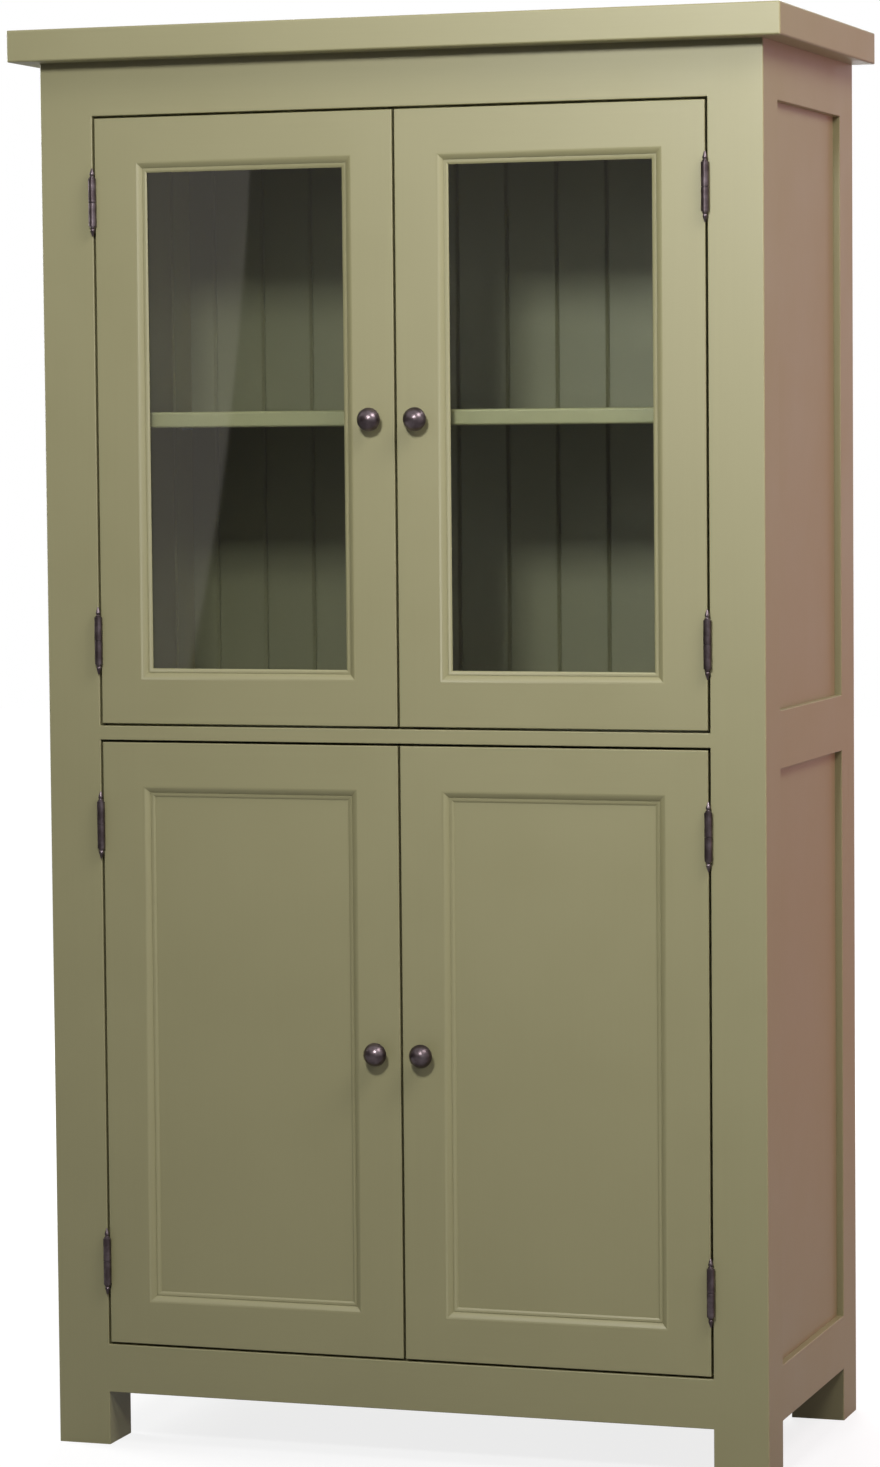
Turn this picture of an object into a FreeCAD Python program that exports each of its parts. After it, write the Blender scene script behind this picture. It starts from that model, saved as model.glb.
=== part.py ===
"""Kitchen cupboard of painted wood: glazed doors above, panelled doors below.

The carcass is a face frame on two framed and panelled sides, with solid corner
blocks behind the stiles as feet, a matchboard back, a thick overhanging top
board and four inset doors on lift-off hinges with tapered finials.

Frame: +Z up, front towards -Y, origin on the floor under the middle of the
cupboard. Lengths are millimetres. Right-hand pieces are built and mirrored.
"""
import FreeCAD
import Part
import math
import os

Vec = FreeCAD.Vector

# Whole cupboard
OVERALL_W = 1000.0
OVERALL_D = 500.0
OVERALL_H = 1800.0

# Top board
TOP_T = 40.0
TOP_SIDE_OVERHANG = 30.0
TOP_FRONT_OVERHANG = 35.0
TOP_EASE_R = 2.5

# Face frame and side frames
FRAME_T = 22.0
STILE_W = 70.0
LEG_CLEAR_H = 68.0
FRONT_TOP_RAIL_H = 68.0
FRONT_MID_RAIL_H = 18.0
FRONT_BOTTOM_RAIL_H = 62.0
UPPER_OPENING_H = 768.0
SIDE_TOP_RAIL_H = 70.0
SIDE_MID_RAIL_H = 72.0
SIDE_MID_RAIL_LIFT = 24.0
SIDE_BOTTOM_RAIL_H = 70.0
CORNER_R = 2.0
ARRIS_R = 1.2
TENON_L = 25.0
FRONT_SHOULDER_SHARE = 0.1

# Side panels
SIDE_PANEL_T = 9.0
SIDE_PANEL_RECESS = 9.0
GROOVE_DEPTH = 8.0
PANEL_PLAY = 1.0

# Matchboard back
BACK_T = 10.0
BACK_LIP = 10.0
BACK_FIRST_W = 48.0
BACK_PITCH = 69.2
BACK_V = 3.0
BACK_TONGUE_T = 3.0
BACK_TONGUE_L = 5.0
BACK_JOINT_PLAY = 0.3
BACK_RAIL_T = 22.0

# Boards inside
DIVIDER_T = 18.0
FLOOR_T = 18.0
SHELF_T = 20.0
SHELF_SET_BACK = 35.0
SHELF_END_PLAY = 1.0
SHELF_NOSE_R = 3.0
UPPER_SHELF_LIFT = 376.0
LOWER_SHELF_LIFT = 378.0
CLEAT_SIDE = 20.0
CLEAT_R = 1.5

# Shelf pins
PIN_R = 2.5
PIN_HOLE_DEPTH = 9.0
PIN_END_PLAY = 1.0
PIN_HOLE_PLAY = 0.1
PIN_INSET = 28.0
PIN_LUG_L = 12.0
PIN_LUG_W = 9.0
PIN_LUG_T = 3.0

# Doors
DOOR_GAP = 3.0
DOOR_T = 22.0
DOOR_STILE_W = 54.0
DOOR_TOP_RAIL_H = 55.0
UPPER_DOOR_BOTTOM_RAIL_H = 56.0
LOWER_DOOR_BOTTOM_RAIL_H = 54.0
DOOR_TENON_T = 8.0
DOOR_TENON_L = 30.0
DOOR_PANEL_T = 8.0
GLASS_T = 4.0
GLASS_PLAY = 1.0

# Door moulding: an ovolo, a quirk, a small bead, then a cove down to the field
MOULD_W = 14.0
MOULD_D = 7.0
MOULD_EDGE = 0.3
OVOLO_W = 7.6
OVOLO_DROP = 4.6
QUIRK_DROP = 0.5
BEAD_W = 2.2
BEAD_RISE = 0.8
GLAZING_BEAD_W = 10.0
GLAZING_BEAD_R = 4.0

# Knobs
KNOB_INSET = 28.5
KNOB_R = 15.0
KNOB_PROJECTION = 28.0
KNOB_SHARES = (
    (0.60, 0.00),
    (0.60, 0.08),
    (0.42, 0.15, 0.36, 0.30),
    (0.54, 0.42, 0.93, 0.47),
    (1.00, 0.53, 0.98, 0.61),
    (1.00,),
)
KNOB_BOLT_R = 2.0
KNOB_BOLT_DEPTH = 9.0
KNOB_BOLT_HEAD_R = 4.5
KNOB_BOLT_HEAD_H = 2.5
KNOB_BOLT_PLAY = 0.15

# Lift-off hinges
HINGE_INSET = 105.0
HINGE_L = 60.0
HINGE_BARREL_R = 5.0
HINGE_FACE_PLAY = 0.3
HINGE_LEAF_T = 2.0
HINGE_LEAF_W = 20.0
HINGE_LEAF_SINK = 1.0
HINGE_LEAF_RELIEF = 0.5
HINGE_KNUCKLE_PLAY = 0.3
HINGE_PIN_R = 2.5
HINGE_PIN_PLAY = 0.05
HINGE_PIN_ROOT = 24.0
HINGE_PIN_REACH = 22.0
HINGE_BORE_DEPTH = 24.0
FINIAL_R = 3.6
FINIAL_H = 13.0
FINIAL_SHARES = (
    (1.00, 0.00),
    (1.00, 0.12),
    (0.64, 0.22),
    (0.86, 0.33, 0.84, 0.46),
    (0.52, 0.72, 0.22, 1.00),
    (0.00, 1.00),
)

# Magnetic catches
CATCH_W = 40.0
CATCH_D = 16.0
CATCH_H = 13.0
CATCH_EAR_W = 9.0
CATCH_EAR_T = 2.0
MAGNET_H = 7.0
MAGNET_D = 10.0
MAGNET_PROUD = 0.6
MAGNET_POLE_T = 1.6
STRIKE_W = 36.0
STRIKE_H = 9.0
STRIKE_EDGE = 1.0
STRIKE_T = 1.2
STRIKE_R = 2.0
STRIKE_PLAY = 0.3

# Cutting tools run this far past the wood they cut
OVERRUN = 2.0

# Places worked out from the sizes above
CARCASS_W = OVERALL_W - 2 * TOP_SIDE_OVERHANG
CARCASS_D = OVERALL_D - TOP_FRONT_OVERHANG
CARCASS_H = OVERALL_H - TOP_T
SIDE_X = CARCASS_W / 2
INNER_X = SIDE_X - FRAME_T
OPENING_X = SIDE_X - STILE_W
BACK_Y = OVERALL_D / 2
FRONT_Y = BACK_Y - CARCASS_D
FRAME_BACK_Y = FRONT_Y + FRAME_T
SIDE_STILE_Y = FRONT_Y + STILE_W
REAR_STILE_Y = BACK_Y - STILE_W
BACK_FACE_Y = BACK_Y - BACK_T
UPPER_TOP_Z = CARCASS_H - FRONT_TOP_RAIL_H
UPPER_BOTTOM_Z = UPPER_TOP_Z - UPPER_OPENING_H
LOWER_TOP_Z = UPPER_BOTTOM_Z - FRONT_MID_RAIL_H
LOWER_BOTTOM_Z = LEG_CLEAR_H + FRONT_BOTTOM_RAIL_H
FLOOR_UNDER_Z = LOWER_BOTTOM_Z - FLOOR_T
DIVIDER_UNDER_Z = UPPER_BOTTOM_Z - DIVIDER_T
UPPER_SHELF_Z = UPPER_BOTTOM_Z + UPPER_SHELF_LIFT
LOWER_SHELF_Z = LOWER_BOTTOM_Z + LOWER_SHELF_LIFT
DOOR_W = OPENING_X - DOOR_GAP - DOOR_GAP / 2
DOOR_HINGE_X = OPENING_X - DOOR_GAP
DOOR_MEET_X = DOOR_HINGE_X - DOOR_W
DOOR_BACK_Y = FRONT_Y + DOOR_T
KNOB_X = DOOR_MEET_X + KNOB_INSET
PIVOT_X = OPENING_X - DOOR_GAP / 2
PIVOT_Y = FRONT_Y - HINGE_BARREL_R - HINGE_FACE_PLAY
PANEL_OUT_X = SIDE_X - SIDE_PANEL_RECESS
PANEL_IN_X = PANEL_OUT_X - SIDE_PANEL_T
STRIKE_BACK_Y = DOOR_BACK_Y + STRIKE_T


class DoorBay:
    """The height of one pair of doors and how their frames are filled."""

    def __init__(self, name, bottom, top, bottom_rail_h, glazed):
        self.name = name
        self.bottom = bottom + DOOR_GAP
        self.top = top - DOOR_GAP
        self.bottom_rail_h = bottom_rail_h
        self.glazed = glazed

    @property
    def field(self):
        """Low and high corners, in X and Z, of the hole in the door frame."""
        low = (DOOR_MEET_X + DOOR_STILE_W, self.bottom + self.bottom_rail_h)
        high = (DOOR_HINGE_X - DOOR_STILE_W, self.top - DOOR_TOP_RAIL_H)
        return low, high

    @property
    def hinge_heights(self):
        return (self.bottom + HINGE_INSET, self.top - HINGE_INSET)

    @property
    def knob_z(self):
        return (self.bottom + self.top) / 2


UPPER = DoorBay("upper", UPPER_BOTTOM_Z, UPPER_TOP_Z, UPPER_DOOR_BOTTOM_RAIL_H, True)
LOWER = DoorBay("lower", LOWER_BOTTOM_Z, LOWER_TOP_Z, LOWER_DOOR_BOTTOM_RAIL_H, False)


def block(xs, ys, zs):
    """A box between two places on each axis."""
    low = Vec(min(xs), min(ys), min(zs))
    return Part.makeBox(max(xs) - low.x, max(ys) - low.y, max(zs) - low.z, low)


def fuse(shapes):
    """One solid from shapes that touch or overlap."""
    first, *rest = shapes
    return first.fuse(rest).removeSplitter() if rest else first


def carve(shape, tools):
    """The shape with every tool taken out of it."""
    return shape.cut(list(tools)) if tools else shape


def mirrored(shapes):
    """The left-hand twins of right-hand solids."""
    return [s.mirror(Vec(0, 0, 0), Vec(1, 0, 0)) for s in shapes]


def rounding(start, end, into_a, into_b, radius):
    """The sliver to remove from an arris so that it has a round of this radius.

    start and end are the ends of the arris. into_a and into_b are unit vectors
    that point from it into the wood, one along each of its two faces.
    """
    on_a = start + into_a * radius
    on_b = start + into_b * radius
    centre = on_a + into_b * radius
    middle = centre - (into_a + into_b) * (radius * math.sqrt(0.5))
    off_b = on_b - into_a * OVERRUN
    off = start - (into_a + into_b) * OVERRUN
    off_a = on_a - into_b * OVERRUN
    edges = [Part.Arc(on_a, middle, on_b).toShape()]
    corners = [on_b, off_b, off, off_a, on_a]
    edges += [Part.makeLine(p, q) for p, q in zip(corners, corners[1:])]
    return Part.Face(Part.Wire(edges)).extrude(end - start)


def eased(shape, arrises, radius):
    """Round the arrises listed as (start, end, into_a, into_b)."""
    return carve(shape, [rounding(*arris, radius) for arris in arrises])


RIGHT, LEFT = Vec(1, 0, 0), Vec(-1, 0, 0)
BACKWARD, FORWARD = Vec(0, 1, 0), Vec(0, -1, 0)
UP, DOWN = Vec(0, 0, 1), Vec(0, 0, -1)


def upright_arris(x, y, zs, into_x, into_y):
    """A vertical arris at x, y for eased()."""
    return (Vec(x, y, min(zs)), Vec(x, y, max(zs)), into_x, into_y)


def level_arris(xs, y, z, into_y, into_z):
    """An arris along X at y, z for eased()."""
    return (Vec(min(xs), y, z), Vec(max(xs), y, z), into_y, into_z)


def deep_arris(x, ys, z, into_x, into_z):
    """An arris along Y at x, z for eased()."""
    return (Vec(x, min(ys), z), Vec(x, max(ys), z), into_x, into_z)


def hole(centre, direction, radius, length):
    """A round tool or peg from centre along direction."""
    return Part.makeCylinder(radius, length, centre, direction)


def prism(points, height):
    """A polygon in a plane, given as vectors, carried along a vector."""
    return Part.Face(Part.makePolygon(points + points[:1])).extrude(height)


def crown_middle(start_r, rise):
    """Radius and height of the middle of a dome that rises to the axis.

    The dome is one arc, level at its top, that starts at start_r. The height
    is measured from its start.
    """
    dome_r = (start_r ** 2 + rise ** 2) / (2 * rise)
    start_angle = math.asin((dome_r - rise) / dome_r)
    middle_angle = (start_angle + math.pi / 2) / 2
    return dome_r * math.cos(middle_angle), rise - dome_r + dome_r * math.sin(middle_angle)


def turned(shares, centre, out, radius, length):
    """A solid turned about an axis from centre along out.

    shares lists the outline from the base to the tip in shares of radius and
    length: two numbers end a straight line, four give an arc's middle and end,
    and one closes the outline with a dome of that height.
    """
    def at(across, along):
        return centre + RIGHT * across + out * along

    edges = []
    here_r, here_h = 0, 0
    for row in shares:
        end_r, end_h = (0, row[0]) if len(row) == 1 else row[-2:]
        end_r, end_h = end_r * radius, end_h * length
        if len(row) == 2:
            edge = Part.makeLine(at(here_r, here_h), at(end_r, end_h))
        else:
            if len(row) == 1:
                middle_r, rise = crown_middle(here_r, end_h - here_h)
                middle_h = here_h + rise
            else:
                middle_r, middle_h = row[0] * radius, row[1] * length
            edge = Part.Arc(at(here_r, here_h), at(middle_r, middle_h), at(end_r, end_h)).toShape()
        edges.append(edge)
        here_r, here_h = end_r, end_h
    edges.append(Part.makeLine(at(here_r, here_h), centre))
    return Part.Face(Part.Wire(edges)).revolve(centre, out, 360)


def tenon_height(zs, shoulder):
    """The Z span of a tenon on a rail, between its two edge shoulders."""
    return (min(zs) + shoulder, max(zs) - shoulder)


# Face frame

def front_rail_tenons(zs):
    """The two tenons of a front rail, from its shoulders outwards."""
    middle_y = FRONT_Y + FRAME_T / 2
    ys = (middle_y - DOOR_TENON_T / 2, middle_y + DOOR_TENON_T / 2)
    shoulder = (max(zs) - min(zs)) * FRONT_SHOULDER_SHARE
    right = block((OPENING_X, OPENING_X + TENON_L), ys, tenon_height(zs, shoulder))
    return [right] + mirrored([right])


FRONT_RAIL_SPANS = {
    "front_top_rail": (UPPER_TOP_Z, CARCASS_H),
    "front_mid_rail": (LOWER_TOP_Z, UPPER_BOTTOM_Z),
    "front_bottom_rail": (LEG_CLEAR_H, LOWER_BOTTOM_Z),
}


def front_rail(name):
    """A rail between the front stiles, tenoned into both."""
    zs = FRONT_RAIL_SPANS[name]
    xs = (-OPENING_X, OPENING_X)
    arrises = [level_arris(xs, FRONT_Y, zs[0], BACKWARD, UP)]
    if zs[1] < CARCASS_H:
        arrises.append(level_arris(xs, FRONT_Y, zs[1], BACKWARD, DOWN))
    bar = eased(block(xs, (FRONT_Y, FRAME_BACK_Y), zs), arrises, ARRIS_R)
    return [fuse([bar] + front_rail_tenons(zs))]


def hinge_gain(side_x, into, z):
    """The shallow seat for a hinge leaf in the edge at side_x."""
    xs = (side_x - into * OVERRUN / 2, side_x + into * HINGE_LEAF_SINK)
    return block(xs, (FRONT_Y - OVERRUN, FRONT_Y + HINGE_LEAF_W), (z - HINGE_L / 2, z + HINGE_L / 2))


def front_stile():
    """The right front stile, from the floor to the top board."""
    stile = block((OPENING_X, SIDE_X), (FRONT_Y, FRAME_BACK_Y), (0, CARCASS_H))
    tools = [front_rail_tenons(zs)[0] for zs in FRONT_RAIL_SPANS.values()]
    for bay in (UPPER, LOWER):
        tools += [hinge_gain(OPENING_X, 1, z) for z in bay.hinge_heights]
    arrises = [upright_arris(OPENING_X, FRONT_Y, zs, RIGHT, BACKWARD)
               for zs in ((0, LEG_CLEAR_H), (LOWER_BOTTOM_Z, LOWER_TOP_Z), (UPPER_BOTTOM_Z, UPPER_TOP_Z))]
    stile = eased(carve(stile, tools), arrises, ARRIS_R)
    outer = upright_arris(SIDE_X, FRONT_Y, (0, CARCASS_H), LEFT, BACKWARD)
    return [eased(stile, [outer], CORNER_R)]


# Side frames

SIDE_MID_TOP_Z = UPPER_BOTTOM_Z + SIDE_MID_RAIL_LIFT
SIDE_RAIL_SPANS = [
    (LEG_CLEAR_H, LEG_CLEAR_H + SIDE_BOTTOM_RAIL_H),
    (SIDE_MID_TOP_Z - SIDE_MID_RAIL_H, SIDE_MID_TOP_Z),
    (CARCASS_H - SIDE_TOP_RAIL_H, CARCASS_H),
]
SIDE_PANEL_SPANS = [(low[1], high[0]) for low, high in zip(SIDE_RAIL_SPANS, SIDE_RAIL_SPANS[1:])]


def side_rail_tenons(zs):
    """The two tenons of a side rail, between the grooves of its two edges."""
    xs = (PANEL_IN_X, PANEL_OUT_X)
    tenon_zs = tenon_height(zs, GROOVE_DEPTH)
    front = block(xs, (SIDE_STILE_Y - TENON_L, SIDE_STILE_Y), tenon_zs)
    rear = block(xs, (REAR_STILE_Y, REAR_STILE_Y + TENON_L), tenon_zs)
    return [front, rear]


def side_panel_field(zs, reach):
    """The space of one side panel, grown by reach into the frame round it."""
    ys = (SIDE_STILE_Y - reach, REAR_STILE_Y + reach)
    return block((PANEL_IN_X, PANEL_OUT_X), ys, (min(zs) - reach, max(zs) + reach))


def side_rails():
    """Three rails of the right side frame, grooved for the panels."""
    rails = []
    grooves = [side_panel_field(zs, GROOVE_DEPTH) for zs in SIDE_PANEL_SPANS]
    ys = (SIDE_STILE_Y, REAR_STILE_Y)
    for zs in SIDE_RAIL_SPANS:
        arrises = [deep_arris(SIDE_X, ys, zs[0], LEFT, UP)]
        if zs[1] < CARCASS_H:
            arrises.append(deep_arris(SIDE_X, ys, zs[1], LEFT, DOWN))
        bar = eased(block((INNER_X, SIDE_X), ys, zs), arrises, ARRIS_R)
        rails.append(fuse([carve(bar, grooves)] + side_rail_tenons(zs)))
    return rails


def pin_places():
    """Where each shelf pin of the right side enters its stile."""
    ys = (FRONT_Y + STILE_W - PIN_INSET, REAR_STILE_Y + PIN_INSET)
    heights = [z - PIN_LUG_T / 2 for z in (UPPER_SHELF_Z, LOWER_SHELF_Z)]
    return [Vec(INNER_X, y, z) for y in ys for z in heights]


def side_stiles():
    """Front and rear stiles of the right side frame, down to the floor."""
    front = block((INNER_X, SIDE_X), (FRAME_BACK_Y, SIDE_STILE_Y), (0, CARCASS_H))
    rear = block((INNER_X, SIDE_X), (REAR_STILE_Y, BACK_Y), (0, CARCASS_H))
    rebate_xs = (INNER_X - OVERRUN, SIDE_X - BACK_LIP)
    rebate = block(rebate_xs, (BACK_FACE_Y, BACK_Y + OVERRUN), (LEG_CLEAR_H, CARCASS_H + OVERRUN))
    tools = [side_panel_field(zs, GROOVE_DEPTH) for zs in SIDE_PANEL_SPANS]
    for zs in SIDE_RAIL_SPANS:
        tools += side_rail_tenons(zs)
    tools += [hole(p, RIGHT, PIN_R + PIN_HOLE_PLAY, PIN_HOLE_DEPTH) for p in pin_places()]
    gaps = [(0, LEG_CLEAR_H)] + SIDE_PANEL_SPANS
    front_arrises = [upright_arris(SIDE_X, SIDE_STILE_Y, zs, LEFT, FORWARD) for zs in gaps]
    rear_arrises = [upright_arris(SIDE_X, REAR_STILE_Y, zs, LEFT, BACKWARD) for zs in gaps]
    front = eased(carve(front, tools), front_arrises, ARRIS_R)
    rear = eased(carve(rear, tools + [rebate]), rear_arrises, ARRIS_R)
    corner = upright_arris(SIDE_X, BACK_Y, (0, CARCASS_H), LEFT, FORWARD)
    return [front, eased(rear, [corner], CORNER_R)]


def side_panels():
    """Flat panels held in the grooves of the right side frame."""
    reach = GROOVE_DEPTH - PANEL_PLAY
    return [side_panel_field(zs, reach) for zs in SIDE_PANEL_SPANS]


def foot_blocks():
    """The blocks that fill the right corners behind the stiles, as square feet."""
    xs = (OPENING_X, INNER_X)
    front = block(xs, (FRAME_BACK_Y, SIDE_STILE_Y), (0, FLOOR_UNDER_Z))
    rear = block(xs, (REAR_STILE_Y, BACK_FACE_Y), (0, FLOOR_UNDER_Z))
    ledge = block(xs, (BACK_FACE_Y, BACK_Y), (0, LEG_CLEAR_H))
    return [front, fuse([rear, ledge])]


# Back

def back_rails():
    """Rails behind the top and under the floor, to which the back is nailed."""
    ys = (BACK_FACE_Y - BACK_RAIL_T, BACK_FACE_Y)
    top = block((-INNER_X, INNER_X), ys, (CARCASS_H - SIDE_TOP_RAIL_H, CARCASS_H))
    bottom = block((-OPENING_X, OPENING_X), ys, (LEG_CLEAR_H, FLOOR_UNDER_Z))
    return [top, bottom]


def back_edges():
    """The X of each joint of the back, from its left edge to its right edge."""
    left = -SIDE_X + BACK_LIP
    right = SIDE_X - BACK_LIP
    edges = [left]
    joint = left + BACK_FIRST_W
    while joint < right - BACK_TONGUE_L - BACK_V:
        edges.append(joint)
        joint += BACK_PITCH
    return edges + [right]


def back_board(left, right, first, last):
    """One upright matchboard: V-cut arrises, a groove at left, a tongue at right."""
    middle = BACK_FACE_Y + BACK_V + (BACK_T - BACK_V) / 2
    half = BACK_TONGUE_T / 2
    slot = half + BACK_JOINT_PLAY
    slot_x = left + BACK_TONGUE_L + BACK_JOINT_PLAY
    tongue_x = right + BACK_TONGUE_L
    start = left if first else left + BACK_V
    stop = right if last else right - BACK_V
    outline = [(start, BACK_FACE_Y), (stop, BACK_FACE_Y)]
    if not last:
        outline += [(right, BACK_FACE_Y + BACK_V), (right, middle - half), (tongue_x, middle - half),
                    (tongue_x, middle + half), (right, middle + half)]
    outline += [(right, BACK_Y), (left, BACK_Y)]
    if not first:
        outline += [(left, middle + slot), (slot_x, middle + slot), (slot_x, middle - slot),
                    (left, middle - slot), (left, BACK_FACE_Y + BACK_V)]
    points = [Vec(x, y, LEG_CLEAR_H) for x, y in outline]
    return prism(points, Vec(0, 0, CARCASS_H - LEG_CLEAR_H))


def back_boards():
    """The matchboard back, ripped to width at both ends."""
    edges = back_edges()
    spans = list(zip(edges, edges[1:]))
    return [back_board(a, b, a == edges[0], b == edges[-1]) for a, b in spans]


# Boards

def top_board():
    """The thick top, with every arris eased."""
    xs, ys = (-OVERALL_W / 2, OVERALL_W / 2), (-OVERALL_D / 2, OVERALL_D / 2)
    zs = (CARCASS_H, OVERALL_H)
    arrises = []
    for z, into_z in zip(zs, (UP, DOWN)):
        arrises += [level_arris(xs, y, z, into_y, into_z) for y, into_y in zip(ys, (BACKWARD, FORWARD))]
        arrises += [deep_arris(x, ys, z, into_x, into_z) for x, into_x in zip(xs, (RIGHT, LEFT))]
    for x, into_x in zip(xs, (RIGHT, LEFT)):
        arrises += [upright_arris(x, y, zs, into_x, into_y) for y, into_y in zip(ys, (BACKWARD, FORWARD))]
    return [eased(block(xs, ys, zs), arrises, TOP_EASE_R)]


def inner_board(top, thickness):
    """A full board between the sides, from the face frame to the back."""
    return block((-INNER_X, INNER_X), (FRAME_BACK_Y, BACK_FACE_Y), (top - thickness, top))


def shelf(under_z):
    """A loose shelf with a rounded nose, resting on its pins."""
    xs = (-INNER_X + SHELF_END_PLAY, INNER_X - SHELF_END_PLAY)
    front = FRONT_Y + SHELF_SET_BACK
    board = block(xs, (front, BACK_FACE_Y), (under_z, under_z + SHELF_T))
    arrises = [level_arris(xs, front, under_z, BACKWARD, UP),
               level_arris(xs, front, under_z + SHELF_T, BACKWARD, DOWN)]
    return eased(board, arrises, SHELF_NOSE_R)


def board_cleats():
    """Battens on the right side frame under the floor and the divider."""
    xs = (INNER_X - CLEAT_SIDE, INNER_X)
    ys = (SIDE_STILE_Y, REAR_STILE_Y)
    cleats = []
    for under_z in (FLOOR_UNDER_Z, DIVIDER_UNDER_Z):
        arris = deep_arris(xs[0], ys, under_z - CLEAT_SIDE, RIGHT, UP)
        cleats.append(eased(block(xs, ys, (under_z - CLEAT_SIDE, under_z)), [arris], CLEAT_R))
    return cleats


def shelf_pins():
    """Steel pins in the right stiles, each with a flat lug under its shelf."""
    pins = []
    for place in pin_places():
        stem = hole(place, RIGHT, PIN_R, PIN_HOLE_DEPTH - PIN_END_PLAY)
        lug_ys = (place.y - PIN_LUG_W / 2, place.y + PIN_LUG_W / 2)
        lug_zs = (place.z - PIN_LUG_T / 2, place.z + PIN_LUG_T / 2)
        pins.append(fuse([block((INNER_X - PIN_LUG_L, INNER_X), lug_ys, lug_zs), stem]))
    return pins


# Catches

def catch_heights():
    """The Z span of the catches on top of the divider and under it."""
    return [(UPPER_BOTTOM_Z, 1), (DIVIDER_UNDER_Z, -1)]


def magnetic_catches():
    """Catch cases with their magnets, on both faces of the divider."""
    front = STRIKE_BACK_Y + STRIKE_PLAY + MAGNET_PROUD
    solids = []
    for seat_z, up in catch_heights():
        case_xs = (KNOB_X - CATCH_W / 2 + CATCH_EAR_W, KNOB_X + CATCH_W / 2 - CATCH_EAR_W)
        case = block(case_xs, (front, front + CATCH_D), (seat_z, seat_z + up * CATCH_H))
        ear_xs = (KNOB_X - CATCH_W / 2, KNOB_X + CATCH_W / 2)
        ear_ys = (front + CATCH_D / 4, front + CATCH_D * 3 / 4)
        ears = block(ear_xs, ear_ys, (seat_z, seat_z + up * CATCH_EAR_T))
        middle_z = seat_z + up * CATCH_H / 2
        magnet_xs = (KNOB_X - (CATCH_W / 2 - CATCH_EAR_W) + MAGNET_POLE_T,
                     KNOB_X + (CATCH_W / 2 - CATCH_EAR_W) - MAGNET_POLE_T)
        magnet_zs = (middle_z - MAGNET_H / 2, middle_z + MAGNET_H / 2)
        magnet = block(magnet_xs, (front - MAGNET_PROUD, front + MAGNET_D), magnet_zs)
        solids += [carve(fuse([case, ears]), [magnet]), magnet]
    return solids + mirrored(solids)


def strike_plate(bay):
    """The steel plate on the back of a meeting stile, facing its magnet."""
    seat_z, up = catch_heights()[0 if bay is UPPER else 1]
    near_z = seat_z + up * (DOOR_GAP + STRIKE_EDGE)
    xs = (KNOB_X - STRIKE_W / 2, KNOB_X + STRIKE_W / 2)
    ys = (DOOR_BACK_Y, STRIKE_BACK_Y)
    zs = sorted((near_z, near_z + up * STRIKE_H))
    corners = []
    for x, into_x in zip(xs, (RIGHT, LEFT)):
        corners += [deep_arris(x, ys, z, into_x, into_z) for z, into_z in zip(zs, (UP, DOWN))]
    return [eased(block(xs, ys, zs), corners, STRIKE_R)]


# Hinges

def finial(base_z, up):
    """A turned finial on a barrel's end: collar, neck, bulb and tapering tip."""
    out = UP if up > 0 else DOWN
    return turned(FINIAL_SHARES, Vec(PIVOT_X, PIVOT_Y, base_z), out, FINIAL_R, FINIAL_H)


def hinge_half(z, up, leaf_xs):
    """A leaf with its own half of the barrel and the finial at that end."""
    far_z = z + up * HINGE_L / 2
    near_z = z + up * HINGE_KNUCKLE_PLAY / 2
    leaf_ys = (FRONT_Y + HINGE_LEAF_RELIEF, FRONT_Y + HINGE_LEAF_W)
    leaf = block(leaf_xs, leaf_ys, (z - HINGE_L / 2, z + HINGE_L / 2))
    wrap = block(leaf_xs, (PIVOT_Y, FRONT_Y + HINGE_LEAF_W), (near_z, far_z))
    low_z = min(near_z, far_z)
    barrel = hole(Vec(PIVOT_X, PIVOT_Y, low_z), UP, HINGE_BARREL_R, abs(far_z - near_z))
    return fuse([leaf, wrap, barrel, finial(far_z, up)])


def frame_hinge_leaves():
    """Leaves in the right front stile, each with its fixed upright pin."""
    xs = (OPENING_X + HINGE_LEAF_SINK - HINGE_LEAF_T, OPENING_X + HINGE_LEAF_SINK)
    solids = []
    for z in UPPER.hinge_heights + LOWER.hinge_heights:
        foot = Vec(PIVOT_X, PIVOT_Y, z - HINGE_PIN_ROOT)
        pin = hole(foot, UP, HINGE_PIN_R, HINGE_PIN_ROOT + HINGE_PIN_REACH)
        solids += [carve(hinge_half(z, -1, xs), [pin]), pin]
    return solids


def door_hinge_leaves(bay):
    """Leaves in the right door's edge, each with a blind bore over the pin."""
    xs = (DOOR_HINGE_X - HINGE_LEAF_SINK, DOOR_HINGE_X - HINGE_LEAF_SINK + HINGE_LEAF_T)
    leaves = []
    for z in bay.hinge_heights:
        mouth = Vec(PIVOT_X, PIVOT_Y, z - OVERRUN)
        bore = hole(mouth, UP, HINGE_PIN_R + HINGE_PIN_PLAY, HINGE_BORE_DEPTH + OVERRUN)
        leaves.append(carve(hinge_half(z, 1, xs), [bore]))
    return leaves


# Doors

def door_tenons(bay):
    """Tenons of the right door's rails, at the hinge side and the meeting side."""
    ys = (FRONT_Y + MOULD_D, FRONT_Y + MOULD_D + DOOR_TENON_T)
    low, high = bay.field
    spans = [tenon_height(zs, GROOVE_DEPTH) for zs in ((bay.bottom, low[1]), (high[1], bay.top))]
    hinge = [block((high[0], high[0] + DOOR_TENON_L), ys, zs) for zs in spans]
    meeting = [block((low[0] - DOOR_TENON_L, low[0]), ys, zs) for zs in spans]
    return hinge, meeting


def door_field(bay, ys, reach):
    """The hole in the door frame between two depths, grown by reach all round."""
    low, high = bay.field
    return block((low[0] - reach, high[0] + reach), ys, (low[1] - reach, high[1] + reach))


def door_groove(bay):
    """The tool that grooves a panelled door's frame, or nothing for a glazed one."""
    ys = (FRONT_Y + MOULD_D, FRONT_Y + MOULD_D + DOOR_PANEL_T)
    return [] if bay.glazed else [door_field(bay, ys, GROOVE_DEPTH)]


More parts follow.
